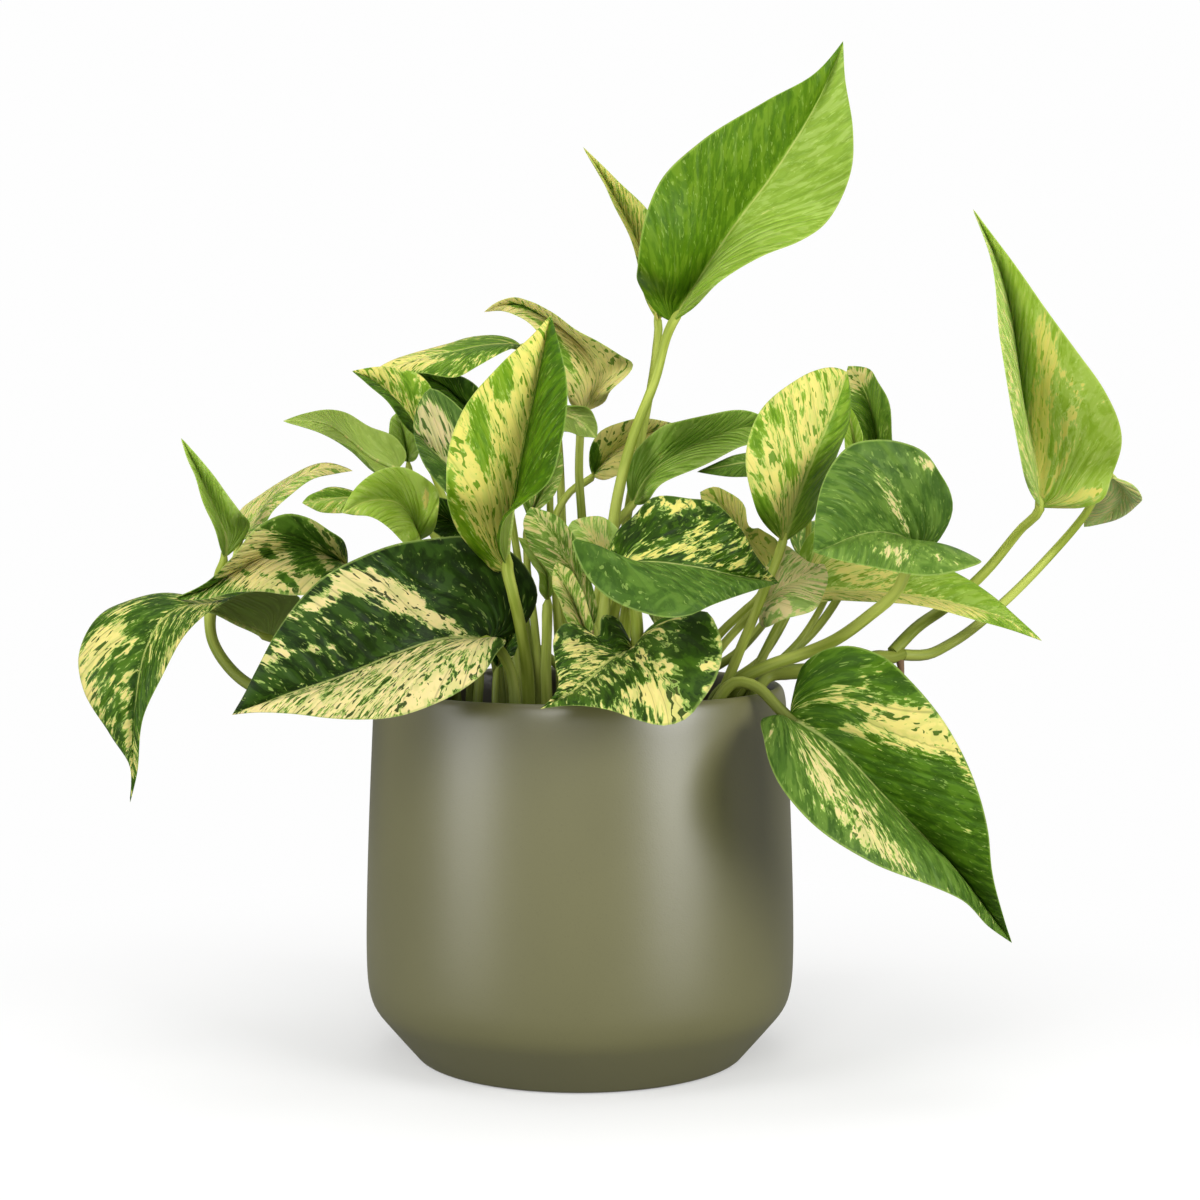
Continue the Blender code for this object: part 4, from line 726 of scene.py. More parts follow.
look("low_right", (0.28, 0.34), (0.75, 0.3), (-0.66, -0.55), [
    (L, 882, 724, 92, 24, 12, 0.95), (L, 930, 722, 34, 26, 50, 0.6),
    (L, 966, 772, 24, 5, 60, 0.8), (L, 828, 712, 18, 8, 10, -1.1),
    (L, 900, 775, 60, 14, 25, -0.5), (L, 872, 680, 26, 8, -20, 0.5),
    (L, 838, 692, 16, 8, -30, 0.4), (L, 855, 716, 14, 5, 10, -1.2),
    (R, 838, 792, 85, 22, 52, 0.55), (R, 890, 852, 40, 14, 45, 0.4)], 0.6)
look("inner_marbled", (0.5, 0.5), 0.4, (-0.05, -0.1))
look("inner_cup", (0.5, 0.5), 0.5, (0.05, 0.0))
look("inner_light", (0.72, 0.7), 0.5, (-0.3, -0.2), [(BOTH, 600, 548, 20, 9, 60, 0.9)])
look("ribbon", (0.8, 0.8), 0.8, (-0.4, -0.4))
look("back_sliver", (0.6, 0.6), 0.5, (-0.2, -0.2))
look("low_inner", (0.15, 0.15), 0.4, (-0.4, -0.4))
look("back_fan", (0.4, 0.4), 0.5, (-0.3, -0.3))
look("back_low", (0.4, 0.4), 0.5, (-0.5, -0.1))
look("back_right", (0.45, 0.4), 0.5, (-0.2, -0.6))
look("back_left", (0.4, 0.4), 0.4, (-0.5, -0.2))
look("back_small", (0.4, 0.4), 0.5, (-0.3, -0.3))


def linear(colour):
    """Linear red, green and blue of an sRGB hex colour: ((c + 0.055) / 1.055)^2.4, or c / 12.92
    for a very dark c."""
    parts = np.array([int(colour[i:i + 2], 16) for i in (1, 3, 5)]) / 255
    straight = np.where(parts <= 0.04045, parts / 12.92, ((parts + 0.055) / 1.055)**2.4)
    return tuple(float(part) for part in straight)


def unit(vectors):
    """Vectors of length one: each divided by its length."""
    length = np.linalg.norm(vectors, axis=-1, keepdims=True)
    return vectors / np.maximum(length, 1e-9)


def view_axes():
    """The view's forward and up directions, (0, cos p, sin p) and (0, -sin p, cos p), for the
    pitch p from the eye to the height it looks at."""
    pitch = np.arctan2(AIM_HEIGHT - EYE[2], -EYE[1])
    forward = np.array([0.0, np.cos(pitch), np.sin(pitch)])
    upward = np.array([0.0, -np.sin(pitch), np.cos(pitch)])
    return forward, upward


def seen(across, down, depth):
    """The point in mm that shows at (across, down) and lies this deep behind the pot's axis. It
    is on the ray forward + right (across - m) / s - up (down - m) / s, with m the view's middle
    and s its scale."""
    forward, upward = view_axes()
    ray = forward + np.array([1.0, 0.0, 0.0]) * (across - VIEW_MIDDLE) / VIEW_SCALE
    ray = ray - upward * (down - VIEW_MIDDLE) / VIEW_SCALE
    return EYE + ray * (depth - EYE[1]) / ray[1]


def seen_all(points):
    """The points in space of a list of (across, down, depth)."""
    return np.array([seen(*point) for point in points])


def shares_along(points):
    """How far along the polyline each point lies: the sum of the steps before it, as a share of
    all steps."""
    steps = np.linalg.norm(np.diff(points, axis=0), axis=1)
    far = np.concatenate([[0.0], np.cumsum(steps)])
    return far / far[-1]


def smooth(points, shares):
    """Points on a smooth curve through the given ones, at these shares of its length.

    Between two knots it is the cubic a (1 + 2 s) (1 - s)^2 + b s^2 (3 - 2 s) plus the slopes
    m s (1 - s)^2 - n s^2 (1 - s), with each slope the mean of the two chords that meet there.
    """
    points = np.asarray(points, float)
    shares = np.asarray(shares, float)
    if len(points) == 2:
        return points[0] + (points[1] - points[0]) * shares[:, None]
    knots = shares_along(points)
    steps = np.diff(knots)
    chords = np.diff(points, axis=0) / steps[:, None]
    slopes = np.zeros_like(points)
    weighted = chords[:-1] * steps[1:, None] + chords[1:] * steps[:-1, None]
    slopes[1:-1] = weighted / (steps[1:] + steps[:-1])[:, None]
    slopes[0] = 1.5 * chords[0] - 0.5 * slopes[1]
    slopes[-1] = 1.5 * chords[-1] - 0.5 * slopes[-2]
    piece = np.clip(np.searchsorted(knots, shares, side="right") - 1, 0, len(points) - 2)
    step = steps[piece][:, None]
    s = (shares - knots[piece])[:, None] / step
    curve = (2 * s**3 - 3 * s**2 + 1) * points[piece]
    curve += (s**3 - 2 * s**2 + s) * step * slopes[piece]
    curve += (3 * s**2 - 2 * s**3) * points[piece + 1]
    curve += (s**3 - s**2) * step * slopes[piece + 1]
    return curve


def outline_at(shares):
    """Along and across of a natural blade's half outline: the smooth curve through its points,
    at shares of the edge."""
    outline = smooth(np.array([(*point, 0.0) for point in OUTLINE]), shares)
    return outline[:, 0], outline[:, 1]


def length_of(midrib):
    """Length of the midrib in mm, measured over 49 steps."""
    return path_length(smooth(midrib, np.linspace(0, 1, 50)))


def edge_in_space(midrib, points, half_width, side):
    """The edge in mm, base and tip included. A point without a depth is moved along its line of
    sight until it lies a natural blade's reach r from the midrib, to the near or the far side.
    If the line passes the midrib at the distance o, that is sqrt(r^2 - o^2) beyond its nearest
    point. Each round goes half the way there."""
    length = length_of(midrib)
    count = len(points)
    middle = smooth(midrib, np.arange(1, count + 1) / (count + 1))
    depths = [p[2] if len(p) > 2 else m[1] for p, m in zip(points, middle)]
    for _ in range(EDGE_ROUNDS):
        spots = [seen(p[0], p[1], depth) for p, depth in zip(points, depths)]
        edge = np.vstack([midrib[:1], spots, midrib[-1:]])
        shares = shares_along(edge)[1:-1]
        centres = smooth(midrib, shares**MIDRIB_POWER)
        along, across = outline_at(shares)
        reach = np.hypot((along - shares**MIDRIB_POWER) * length, across * half_width)
        for i, point in enumerate(points):
            if len(point) > 2:
                continue
            sight = unit(seen(point[0], point[1], 0.0) - EYE)
            nearest = np.dot(centres[i] - EYE, sight)
            off = np.linalg.norm(EYE + sight * nearest - centres[i])
            more = np.sqrt(max(reach[i]**2 - off**2, 0.0)) * side
            wanted = (EYE + sight * (nearest + more))[1]
            depths[i] = 0.5 * depths[i] + 0.5 * wanted
    spots = [seen(p[0], p[1], depth) for p, depth in zip(points, depths)]
    return np.vstack([midrib[:1], spots, midrib[-1:]])


def half_blade(midrib, outer, side, heights, t):
    """One half of a blade as a grid of points: straight from midrib to edge, plus an arch of
    height sin(pi t) along the upper normal, with t across and a height for each row."""
    rows = len(outer)
    u = np.linspace(0, 1, rows)
    inner = smooth(midrib, u**MIDRIB_POWER)
    ahead = smooth(midrib, np.clip(u**MIDRIB_POWER + NUDGE, 0, 1))
    behind = smooth(midrib, np.clip(u**MIDRIB_POWER - NUDGE, 0, 1))
    along = unit(ahead - behind)
    span = outer - inner
    span = span - along * np.sum(span * along, axis=1, keepdims=True)
    normal = unit(np.cross(unit(span) * side, along))
    end = max(1, rows // 8)
    normal[:end] = normal[end]
    normal[-end:] = normal[-end - 1]
    flat = inner[:, None] * (1 - t)[None, :, None] + outer[:, None] * t[None, :, None]
    arch = heights[:, None, None] * np.sin(np.pi * t)[None, :, None]
    return flat + normal[:, None] * arch


def blade_grid(spec, rows, t):
    """The blade as rows from base to tip and columns from left edge to right edge. A half
    arches by bow sin(pi u)^0.7, and by no more than a share of the way between the two edges,
    so that the halves of a folded blade stay apart."""
    midrib = seen_all(spec["midrib"])
    u = np.linspace(0, 1, rows)
    outers = []
    for key, side in (("left", 0), ("right", 1)):
        edge = edge_in_space(midrib, spec[key], spec["half_width"], spec["lean"][side])
        outers.append(smooth(edge, u))
    room = MOST_ARCH * np.linalg.norm(outers[0] - outers[1], axis=1)
    halves = []
    for outer, side, bow in zip(outers, (-1, 1), spec["bow"]):
        heights = np.minimum(bow * np.sin(np.pi * u)**0.7, room)
        halves.append(half_blade(midrib, outer, side, heights, t))
    return np.concatenate([halves[0][:, ::-1], halves[1][:, 1:]], axis=1)


def vein_map(length, half_width, u, t):
    """Where each point lies among the side veins, as two arrays in mm: across the veins and
    along them. A vein leaves the midrib at X and curves forward as X + a |Y| + b Y^2 / W;
    behind the first one, over the basal lobes, the veins fan out from the base by their angle.
    """
    along, across = outline_at(u)
    x = length * ((u**MIDRIB_POWER)[:, None] * (1 - abs(t)) + along[:, None] * abs(t))
    y = half_width * across[:, None] * abs(t)
    bend = VEIN_SLOPE + VEIN_CURVE * y / half_width
    start = x - bend * y
    behind = np.arctan2(y, x) - np.arctan2(1.0, bend)
    over = np.where(start >= 0, start, -VEIN_FAN * length * behind)
    out = np.where(start >= 0, y * np.hypot(1, bend), np.hypot(x, y))
    return over, out, y


def shown(points):
    """Across and down of points in space, in the front view: m + s x / d and m - s z / d, with x
    and z how far a point is to the right of and above the line of view, and d how far away."""
    forward, upward = view_axes()
    away = points - EYE
    deep = away @ forward
    across = VIEW_MIDDLE + VIEW_SCALE * away[..., 0] / deep
    return across, VIEW_MIDDLE - VIEW_SCALE * (away @ upward) / deep


def cream_at(looks, grid, t):
    """How much cream each point has: its half's amount, plus for each mark
    amount exp(-(a^2 + b^2)^1.5), with a and b the shares of the mark's half axes."""
    across, down = shown(grid)
    amount = np.where(t < 0, *looks["cream"]) + 0 * across
    for half, centre_across, centre_down, reach, width, turn, more in looks["marks"]:
        turn = np.radians(turn)
        east, south = across - centre_across, down - centre_down
        ahead = (east * np.cos(turn) + south * np.sin(turn)) / reach
        aside = (south * np.cos(turn) - east * np.sin(turn)) / width
        here = (half == BOTH) | ((t < 0) == (half == L))
        amount = amount + more * here * np.exp(-(ahead**2 + aside**2)**1.5)
    return amount


def blade_fields(spec, looks, seed, grid, u, t):
    """For each point of a blade three vectors, then how clear its side veins are, and its
    distance y from the midrib in mm. The vectors are the place among the veins in mm with the
    seed, the colouring (cream, shade, cast), and the ribs: y in widths of the midrib's line,
    the number of the side vein, and the share of the way across. A side vein is clear where the
    half blade is wide, and fades towards the midrib."""
    length = length_of(seen_all(spec["midrib"]))
    over, out, y = vein_map(length, spec["half_width"], u, t)
    side = np.where(t < 0, -1.0, 1.0) * np.minimum(1, y / HALVES_MEET)
    shade = np.where(t < 0, *looks["shade"]) + 0 * over
    vein = np.stack([over, out, seed + HALVES_APART * side], -1)
    cast = np.where(t < 0, *np.broadcast_to(looks["cast"], 2)) + 0 * over
    tone = np.stack([cream_at(looks, grid, t), shade, cast], -1)
    rib_width = RIB_WIDTH * (RIB_TAPER - u)[:, None] * max(1, looks["rib"])
    rib = y / rib_width + RIB_FADE * max(0, 1 - looks["rib"])
    ribs = np.stack([rib, over / length * VEIN_PAIRS, abs(t) + 0 * over], -1)
    room = y.max(axis=1, keepdims=True)
    narrow, wide, near = VEINS_CLEAR
    clear = np.clip((room - narrow) / (wide - narrow), 0, 1) * np.clip(y / near, 0, 1)
    return vein, tone, ribs, clear, y


def grid_normals(grid):
    """Upward unit normals of a grid: the cross product of its slopes across and along."""
    across = np.gradient(grid, axis=1)
    along = np.gradient(grid, axis=0)
    return unit(np.cross(across, along))


def grid_faces(index):
    """Triangles over a grid of point numbers, (a, b, c) and (a, c, d) for each of its cells,
    facing up. Those whose corners fall together at a pole are left out."""
    a, b, c, d = index[:-1, :-1], index[:-1, 1:], index[1:, 1:], index[1:, :-1]
    faces = np.concatenate([np.stack(f, -1).reshape(-1, 3) for f in ((a, b, c), (a, c, d))])
    ends = np.roll(faces, 1, axis=1)
    return faces[(faces != ends).all(axis=1)]


def tube(path, radius, sides, groove=(0, 1)):
    """A closed round tube: each ring is radius (cos a, sin a) in the plane across the path, and
    its frame turns no more than the path does. The top is drawn in by a groove
    g exp(-((a - pi / 2) / w)^2). It gives points, faces, distance along, and angle."""
    ahead = unit(np.gradient(path, axis=0))
    first = np.cross(ahead[0], ACROSS)
    sideways = [unit(first)]
    for direction in ahead[1:]:
        kept = sideways[-1] - direction * np.dot(sideways[-1], direction)
        sideways.append(unit(kept))
    sideways = np.array(sideways)
    upwards = np.cross(ahead, sideways)
    angle = np.arange(sides) * 2 * np.pi / sides
    drawn_in = groove[0] * np.exp(-((angle - np.pi / 2) / groove[1])**2)
    size = radius[:, None] * (1 - drawn_in)[None]
    rings = path[:, None] + sideways[:, None] * (size * np.cos(angle))[..., None]
    rings = rings + upwards[:, None] * (size * np.sin(angle))[..., None]
    count = len(path)
    points = np.vstack([rings.reshape(-1, 3), path[:1], path[-1:]])
    index = np.arange(count * sides).reshape(count, sides)
    index = np.hstack([index, index[:, :1]])
    low = np.full((1, sides + 1), count * sides)
    index = np.vstack([low, index, low + 1])
    step = np.linalg.norm(np.diff(path, axis=0), axis=1)
    far = np.concatenate([[0.0], np.cumsum(step)])
    far = np.append(np.repeat(far, sides), [0.0, far[-1]])
    turned = np.append(np.tile(angle, count), [0.0, 0.0])
    return points, grid_faces(index), far, turned


def make_piece(name, points, faces, node, sharp=50):
    """A mesh piece from whole arrays, in mm. It rides on the root, and takes over from the
    CAD node that is named. Edges sharper than so many degrees stay sharp."""
    mesh = bpy.data.meshes.new(name)
    mesh.from_pydata((points * MM).tolist(), [], faces.tolist())
    mesh.polygons.foreach_set("use_smooth", np.ones(len(mesh.polygons), bool))
    mesh.set_sharp_from_angle(angle=np.radians(sharp))
    piece = bpy.data.objects.new(name, mesh)
    bpy.context.scene.collection.objects.link(piece)
    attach(piece, "root")
    if node:
        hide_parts(node)
    return piece


def set_fields(piece, **fields):
    """Stores each array under its name, as one vector or one number for each point."""
    for name, values in fields.items():
        values = np.asarray(values, np.float32)
        kind, key = ("FLOAT_VECTOR", "vector") if values.ndim == 2 else ("FLOAT", "value")
        store = piece.data.attributes.new(name, kind, "POINT")
        store.data.foreach_set(key, values.ravel())


def set_kinds(piece, kinds, materials):
    """Adds the materials and gives each face its own."""
    for material in materials:
        piece.data.materials.append(material)
    piece.data.polygons.foreach_set("material_index", np.asarray(kinds, np.int32))


def add(tree, kind, inputs=None, out=0, stops=None, **settings):
    """Adds one node with its settings, values and links, and gives its output number out. An
    input is a value or a link, and stops are the places and colours of a ramp."""
    node = tree.nodes.new("ShaderNode" + kind)
    for key, value in settings.items():
        setattr(node, key, value)
    if stops:
        ramp = node.color_ramp.elements
        while len(ramp) < len(stops):
            ramp.new(0.5)
        for element, (place, colour) in zip(ramp, stops):
            element.position = place
            element.color = (*linear(colour), 1)
    for key, value in (inputs or {}).items():
        if isinstance(value, bpy.types.NodeSocket):
            tree.links.new(value, node.inputs[key])
        else:
            node.inputs[key].default_value = value
    return node.outputs[out]


def new_material(name):
    """An empty material with a Principled shader, as (material, tree, shader)."""
    material = bpy.data.materials.new(name)
    material.use_nodes = True
    return material, material.node_tree, material.node_tree.nodes["Principled BSDF"]


def streaks(tree, place, across, along, seed, detail, third=1.0):
    """Noise from about -0.4 to 0.4 whose grain has these sizes in mm, across the veins, along
    them, and in the third measure, which the seed is part of."""
    grain = (1 / across, 1 / along, 1 / third)
    grain = add(tree, "VectorMath", {0: place, 1: grain}, operation="MULTIPLY")
    grain = add(tree, "VectorMath", {0: grain, 1: (seed, 0, 0)})
    noise = add(tree, "TexNoise", {"Vector": grain, "Scale": 1, "Detail": detail,
                                   "Roughness": 0.55, "Distortion": 0.5})
    return add(tree, "Math", {0: noise, 1: 0.5}, operation="SUBTRACT")


def layer(tree, under, over, value, step, times=None):
    """One colour laid over another. It sets in by a smooth step of the value, from none to as
    much as the step says, and by as little as times says, where that is given."""
    low, high, most = STEPS[step]
    much = add(tree, "MapRange", {0: value, 1: low, 2: high, 4: most},
               interpolation_type="SMOOTHSTEP")
    if times is not None:
        much = add(tree, "Math", {0: much, 1: times}, operation="MULTIPLY")
    return add(tree, "Mix", {0: much, 6: under, 7: over}, out=2, data_type="RGBA")


def greens(tree, tone, more):
    """The green of this shade plus more, between the grey and the yellow row of greens."""
    shade = add(tree, "Math", {0: tone[1], 1: more})
    grey, yellow = [add(tree, "ValToRGB", {0: shade}, stops=stops)
                    for stops in (GREY_GREENS, YELLOW_GREENS)]
    return add(tree, "Mix", {0: tone[2], 6: grey, 7: yellow}, out=2, data_type="RGBA")


def marbling(tree, sizes):
    """Colour of a blade, in layers from the green up, and the height of its relief."""
    place = add(tree, "Attribute", out=1, attribute_name="vein")
    fields = [add(tree, "Attribute", out=1, attribute_name=name) for name in ("tone", "ribs")]
    tone, ribs = [add(tree, "SeparateXYZ", {0: field}).node.outputs for field in fields]
    clear = add(tree, "Attribute", out=2, attribute_name="clear")
    deep, dark, light = [greens(tree, tone, more) for more in (DEEPER, 0, LIGHTER)]
    patch, fleck, grain = [streaks(tree, place, *size) for size in (PATCH, FLECK, GRAIN)]
    # Green tissue: patches of lighter and of deeper green on the leaf's own green.
    green = layer(tree, dark, light, patch, "light patch")
    green = layer(tree, green, deep, patch, "deep patch")
    green = layer(tree, green, light, grain, "light grain")
    # Cream tissue: washed with pale green, and with sharp dark flecks drawn out along the veins.
    cream, pale = [
        add(tree, "Mix", {0: amount, 6: first, 7: (*second, 1)}, out=2, data_type="RGBA")
        for amount, first, second in (
            (tone[2], (*sizes.cream, 1), sizes.lime), (PALE_SHARE, light, sizes.pale))
    ]
    cream = layer(tree, cream, pale, patch, "pale wash")
    cream = layer(tree, cream, dark, fleck, "dark fleck")
    # Where the two meet: blotches drawn out along the veins, added to the amount of cream.
    amount = tone[0]
    for size, weight in BLOTCHES:
        blotch = streaks(tree, place, *size)
        amount = add(tree, "Math", {0: blotch, 1: weight, 2: amount}, operation="MULTIPLY_ADD")
    colour = layer(tree, green, light, amount, "light blotch")
    colour = layer(tree, colour, pale, amount, "pale blotch")
    colour = layer(tree, colour, cream, amount, "cream blotch")
    colour = layer(tree, colour, pale, streaks(tree, place, *PIN), "pale pin")
    # The midrib is paler than what it crosses, and so is the very rim.
    rib = add(tree, "Mix", {0: RIB_SHARE, 6: pale, 7: cream}, out=2, data_type="RGBA")
    colour = layer(tree, colour, rib, ribs[0], "rib")
    colour = layer(tree, colour, pale, ribs[2], "rim")
    # Side veins: a fine groove at each whole number, with the blade swelling between them. They
    # fade out where the blade is narrow.
    half = add(tree, "Math", {0: ribs[1], 1: 0.5}, operation="ADD")
    saw = add(tree, "Math", {0: half}, operation="FRACT")
    off = add(tree, "Math", {0: saw, 1: 0.5}, operation="SUBTRACT")
    off = add(tree, "Math", {0: off}, operation="ABSOLUTE")
    colour = layer(tree, colour, dark, off, "vein line", clear)
    low, high, most = STEPS["vein groove"]
    groove = add(tree, "MapRange", {0: off, 1: low, 2: high, 4: most},
                 interpolation_type="SMOOTHSTEP")
    groove = add(tree, "Math", {0: groove, 1: clear}, operation="MULTIPLY")
    height = add(tree, "Math", {0: grain, 1: GRAIN_HEIGHT, 2: groove}, operation="MULTIPLY_ADD")
    return colour, height


def let_light_through(shader):
    """Lets light scatter through a thin blade, over about the blade's own thickness."""
    shader.inputs["Subsurface Weight"].default_value = 0.4
    shader.inputs["Subsurface Radius"].default_value = (0.7, 1.0, 0.35)
    shader.inputs["Subsurface Scale"].default_value = 1.2 * MM


def finish(tree, shader, colour, height, gloss, strength, depth):
    """Links colour and relief to the shader and sets its gloss, (roughness, IOR, specular
    level). Relief has a strength, and a depth in mm that is less than 0 where it is a hollow."""
    tree.links.new(colour, shader.inputs["Base Color"])
    for name, value in zip(("Roughness", "IOR", "Specular IOR Level"), gloss):
        shader.inputs[name].default_value = value
    bump = add(tree, "Bump", {"Strength": strength, "Distance": depth * MM, "Height": height})
    tree.links.new(bump, shader.inputs["Normal"])


def leaf_upper(sizes):
    """Living leaf, upper face: waxy skin over green and cream tissue. The streaks follow the
    side veins, which gives the eye the torn, marbled look, and the wax gives a broad sheen."""
    material, tree, shader = new_material("Leaf skin, upper face, waxy")
    colour, height = marbling(tree, sizes)
    finish(tree, shader, colour, height, (0.45, 1.45, 0.1), 0.6, 0.5)
    let_light_through(shader)
    return material


def leaf_under(sizes):
    """Living leaf, underside: matt skin with less colour. It shows the same marbling, paler and
    greyer: partly the underside's own colour, partly painted light for a thin blade that light
    comes through."""
    material, tree, shader = new_material("Leaf skin, underside, matt")
    colour, height = marbling(tree, sizes)
    # Partly painted light: the underside is blended towards a pale cast, for light coming through
    # the blade.
    colour = add(tree, "Mix", {0: UNDERSIDE_SHARE, 6: colour, 7: (*sizes.underside, 1)}, out=2,
                 data_type="RGBA")
    finish(tree, shader, colour, height, (0.6, 1.4, 0.2), 0.5, -0.4)
    let_light_through(shader)
    return material


def stalk_skin(sizes):
    """Living stalk and vine: smooth green skin with faint paler streaks along it, half glossy.
    Down in the pot it is darker, as the light doesn't reach it."""
    material, tree, shader = new_material("Stalk skin, smooth")
    place = add(tree, "Attribute", out=1, attribute_name="vein")
    fine, wide = [streaks(tree, place, *size) for size in STALK_STREAKS]
    plain, pale, foot = [
        (*colour, 1) for colour in (sizes.stalk, sizes.stalk_pale, sizes.stalk_foot)
    ]
    colour = layer(tree, plain, pale, fine, "fine streak")
    colour = layer(tree, colour, pale, wide, "wide streak")
    high = add(tree, "SeparateXYZ", {0: add(tree, "TexCoord", out=3)}, out=2)
    colour = layer(tree, colour, foot, high, "stalk foot")
    finish(tree, shader, colour, fine, (0.5, 1.42, 0.3), 0.15, 0.1)
    return material


def ceramic(sizes):
    """Stoneware with a matt glaze: nearly even, with faint clouds and pin-prick grain, which
    give the eye a dry skin with a soft broad sheen. The real grain is finer, and is drawn as
    coarse as it needs to show. Inside, painted shade darkens the wall above the soil towards the
    soil's colour."""
    material, tree, shader = new_material("Stoneware, matt glaze")
    place = add(tree, "TexCoord", out=3)
    cloud, grain = [
        add(tree, "TexNoise", {"Vector": place, "Scale": 1 / (size * MM), "Detail": detail,
                               "Roughness": roughness})
        for size, detail, roughness in ((GLAZE_CLOUD, 3, 0.5), (GLAZE_GRAIN, 2, 0.6))
    ]
    dark, pale = [(*[min(1, part * share) for part in sizes.glaze], 1) for share in GLAZE_SHARES]
    colour = layer(tree, (*sizes.glaze, 1), pale, cloud, "glaze cloud")
    colour = layer(tree, colour, dark, grain, "glaze grain")
    flat = add(tree, "VectorMath", {0: place, 1: (1, 1, 0)}, operation="MULTIPLY")
    radius = add(tree, "VectorMath", {0: flat}, out=1, operation="LENGTH")
    # Painted shade: the inner wall, from the soil up to the lip, is darkened towards the soil's
    # colour.
    low, high, most = STEPS["painted shade height"]
    height = add(tree, "MapRange", {0: add(tree, "SeparateXYZ", {0: place}, out=2), 1: low,
                                    2: high, 4: most}, interpolation_type="SMOOTHSTEP")
    colour = layer(tree, colour, (*sizes.soil, 1), radius, "painted shade inside", height)
    finish(tree, shader, colour, grain, (0.38, 1.75, 0.5), 0.25, 0.1)
    return material


def earth(sizes):
    """Potting soil: dark damp fibrous crumb, fully rough, which gives the eye loose earth."""
    material, tree, shader = new_material("Potting soil, crumbly")
    place = add(tree, "TexCoord", out=3)
    lumps = add(tree, "TexNoise", {"Vector": place, "Scale": 1 / (SOIL_CRUMB * MM), "Detail": 5,
                                   "Roughness": 0.7})
    colour = layer(tree, (*sizes.soil, 1), (*linear(DRY_SOIL), 1), lumps, "soil crumb")
    finish(tree, shader, colour, lumps, (0.95, 1.5, 0.15), 0.9, 0.8)
    return material


def plain_material(name, code, roughness):
    """A plain material of one colour, for bits too small to show a pattern."""
    material, _, shader = new_material(name)
    shader.inputs["Base Color"].default_value = (*linear(code), 1)
    shader.inputs["Roughness"].default_value = roughness
    return material


def soften_fold(grid, t, body, soft):
    """Rounds the fold along the midrib: in each round a point moves towards the mean of its
    neighbours across, by a share 0.5 exp(-(t / s)^2) of the way. A softer fold has a wider s and
    takes more rounds."""
    width = FOLD_WIDTH * soft**0.5
    pull = 0.5 * np.exp(-(t[1:-1] / width)**2)[None, :, None] * body[..., None]
    for _ in range(int(FOLD_ROUNDS * soft)):
        mean = (grid[:, :-2] + grid[:, 2:]) / 2
        grid[:, 1:-1] += pull * (mean - grid[:, 1:-1])
    return grid


def blade_lift(u, t, y, seed, soft, sizes):
    """How far the upper face is lifted, in mm: a furrow -F exp(-(y / w)^2) / soft along the
    midrib and a wave W sin(2 pi (n u + c)) |t|^3 along the rim, both by sin(pi u)."""
    body = np.sin(np.pi * u)[:, None]
    wave = np.sin(2 * np.pi * (WAVES * u[:, None] + WAVE_START * seed) + WAVE_TURN * np.sign(t))
    furrow = sizes.furrow / MM * np.exp(-(y / FURROW_WIDTH)**2) / soft
    return (sizes.wave / MM * wave * abs(t)**3 - furrow) * body


def blade_solid(grid, normal, half):
    """Points and faces of a closed blade, both in two parts: the grid moved half its thickness
    up and down along its normals. The two faces meet at the rim, the base and the tip."""
    rows, across = grid.shape[:2]
    top, low = grid + normal * half, grid - normal * half
    upper = np.arange(rows * across).reshape(rows, across)
    upper[0], upper[-1] = upper[0, 0], upper[-1, 0]
    under = upper + rows * across
    for edge in (np.s_[[0, -1]], np.s_[:, [0, -1]]):
        top[edge] = low[edge] = grid[edge]
        under[edge] = upper[edge]
    points = [top.reshape(-1, 3), low.reshape(-1, 3)]
    return points, [grid_faces(upper), grid_faces(under)[:, ::-1]]


def leaf_arrays(spec, looks, seed, sizes):
    """Points, faces, face kinds and the four fields of one leaf: a closed blade with its
    furrow and its waved rim, the rib under it, and the stalk."""
    midrib = seen_all(spec["midrib"])
    rows, columns = [
        int(np.clip(size / step, least, most))
        for size, (step, least, most) in ((length_of(midrib), ROWS), (spec["half_width"], COLUMNS))
    ]
    t = np.append(np.linspace(0, RIM_START, columns), 1.0)
    grid = blade_grid(spec, rows, t)
    wide = np.concatenate([-t[::-1], t[1:]])
    u = np.linspace(0, 1, rows)
    vein, tone, ribs, clear, y = blade_fields(spec, looks, seed, grid, u, wide)
    grid = soften_fold(grid, wide, np.sin(np.pi * u)[:, None], looks["soft"])
    normal = grid_normals(grid)
    grid = grid + normal * blade_lift(u, wide, y, seed, looks["soft"], sizes)[..., None]
    points, faces = blade_solid(grid, normal, sizes.blade / MM / 2)
    middle = np.s_[1:int(rows * RIB_END), len(wide) // 2]
    radii = np.linspace(*RIB_RADII, len(grid[middle])) * min(1.0, spec["radii"][0] / THICK_STALK)
    rib = tube(grid[middle] - normal[middle] * radii[:, None], radii, RIB_SIDES)
    stalk = stalk_tube(spec, midrib)
    for part in (rib, stalk):
        faces.append(part[1] + sum(map(len, points)))
        points.append(part[0])
    kinds = np.repeat([0, 1, 1, 2], [len(part) for part in faces])
    tubes = len(rib[0]) + len(stalk[0])
    rib_place = np.stack([rib[2], np.zeros_like(rib[2]), np.full_like(rib[2], seed)], -1)
    tube_fields = [
        np.vstack([rib_place, round_fields(stalk, STALK_ROUND, seed)]),
        np.tile(RIB_TONE, (tubes, 1)), np.tile(OFF_THE_RIB, (tubes, 1)),
    ]
    fields = {"clear": np.append(np.tile(clear.ravel(), 2), np.zeros(tubes))}
    for name, field, rest in zip(("vein", "tone", "ribs"), (vein, tone, ribs), tube_fields):
        field = field.reshape(-1, 3)
        fields[name] = np.vstack([field, field, rest])
    return np.vstack(points), np.vstack(faces), kinds, fields


def round_fields(part, radius, seed):
    """For the skin of a tube: the distance along, and a place (r cos a, r sin a) on a circle, so
    that it has no seam."""
    along, angle = part[2:]
    return np.stack([along, radius * np.cos(angle), seed + radius * np.sin(angle)], -1)


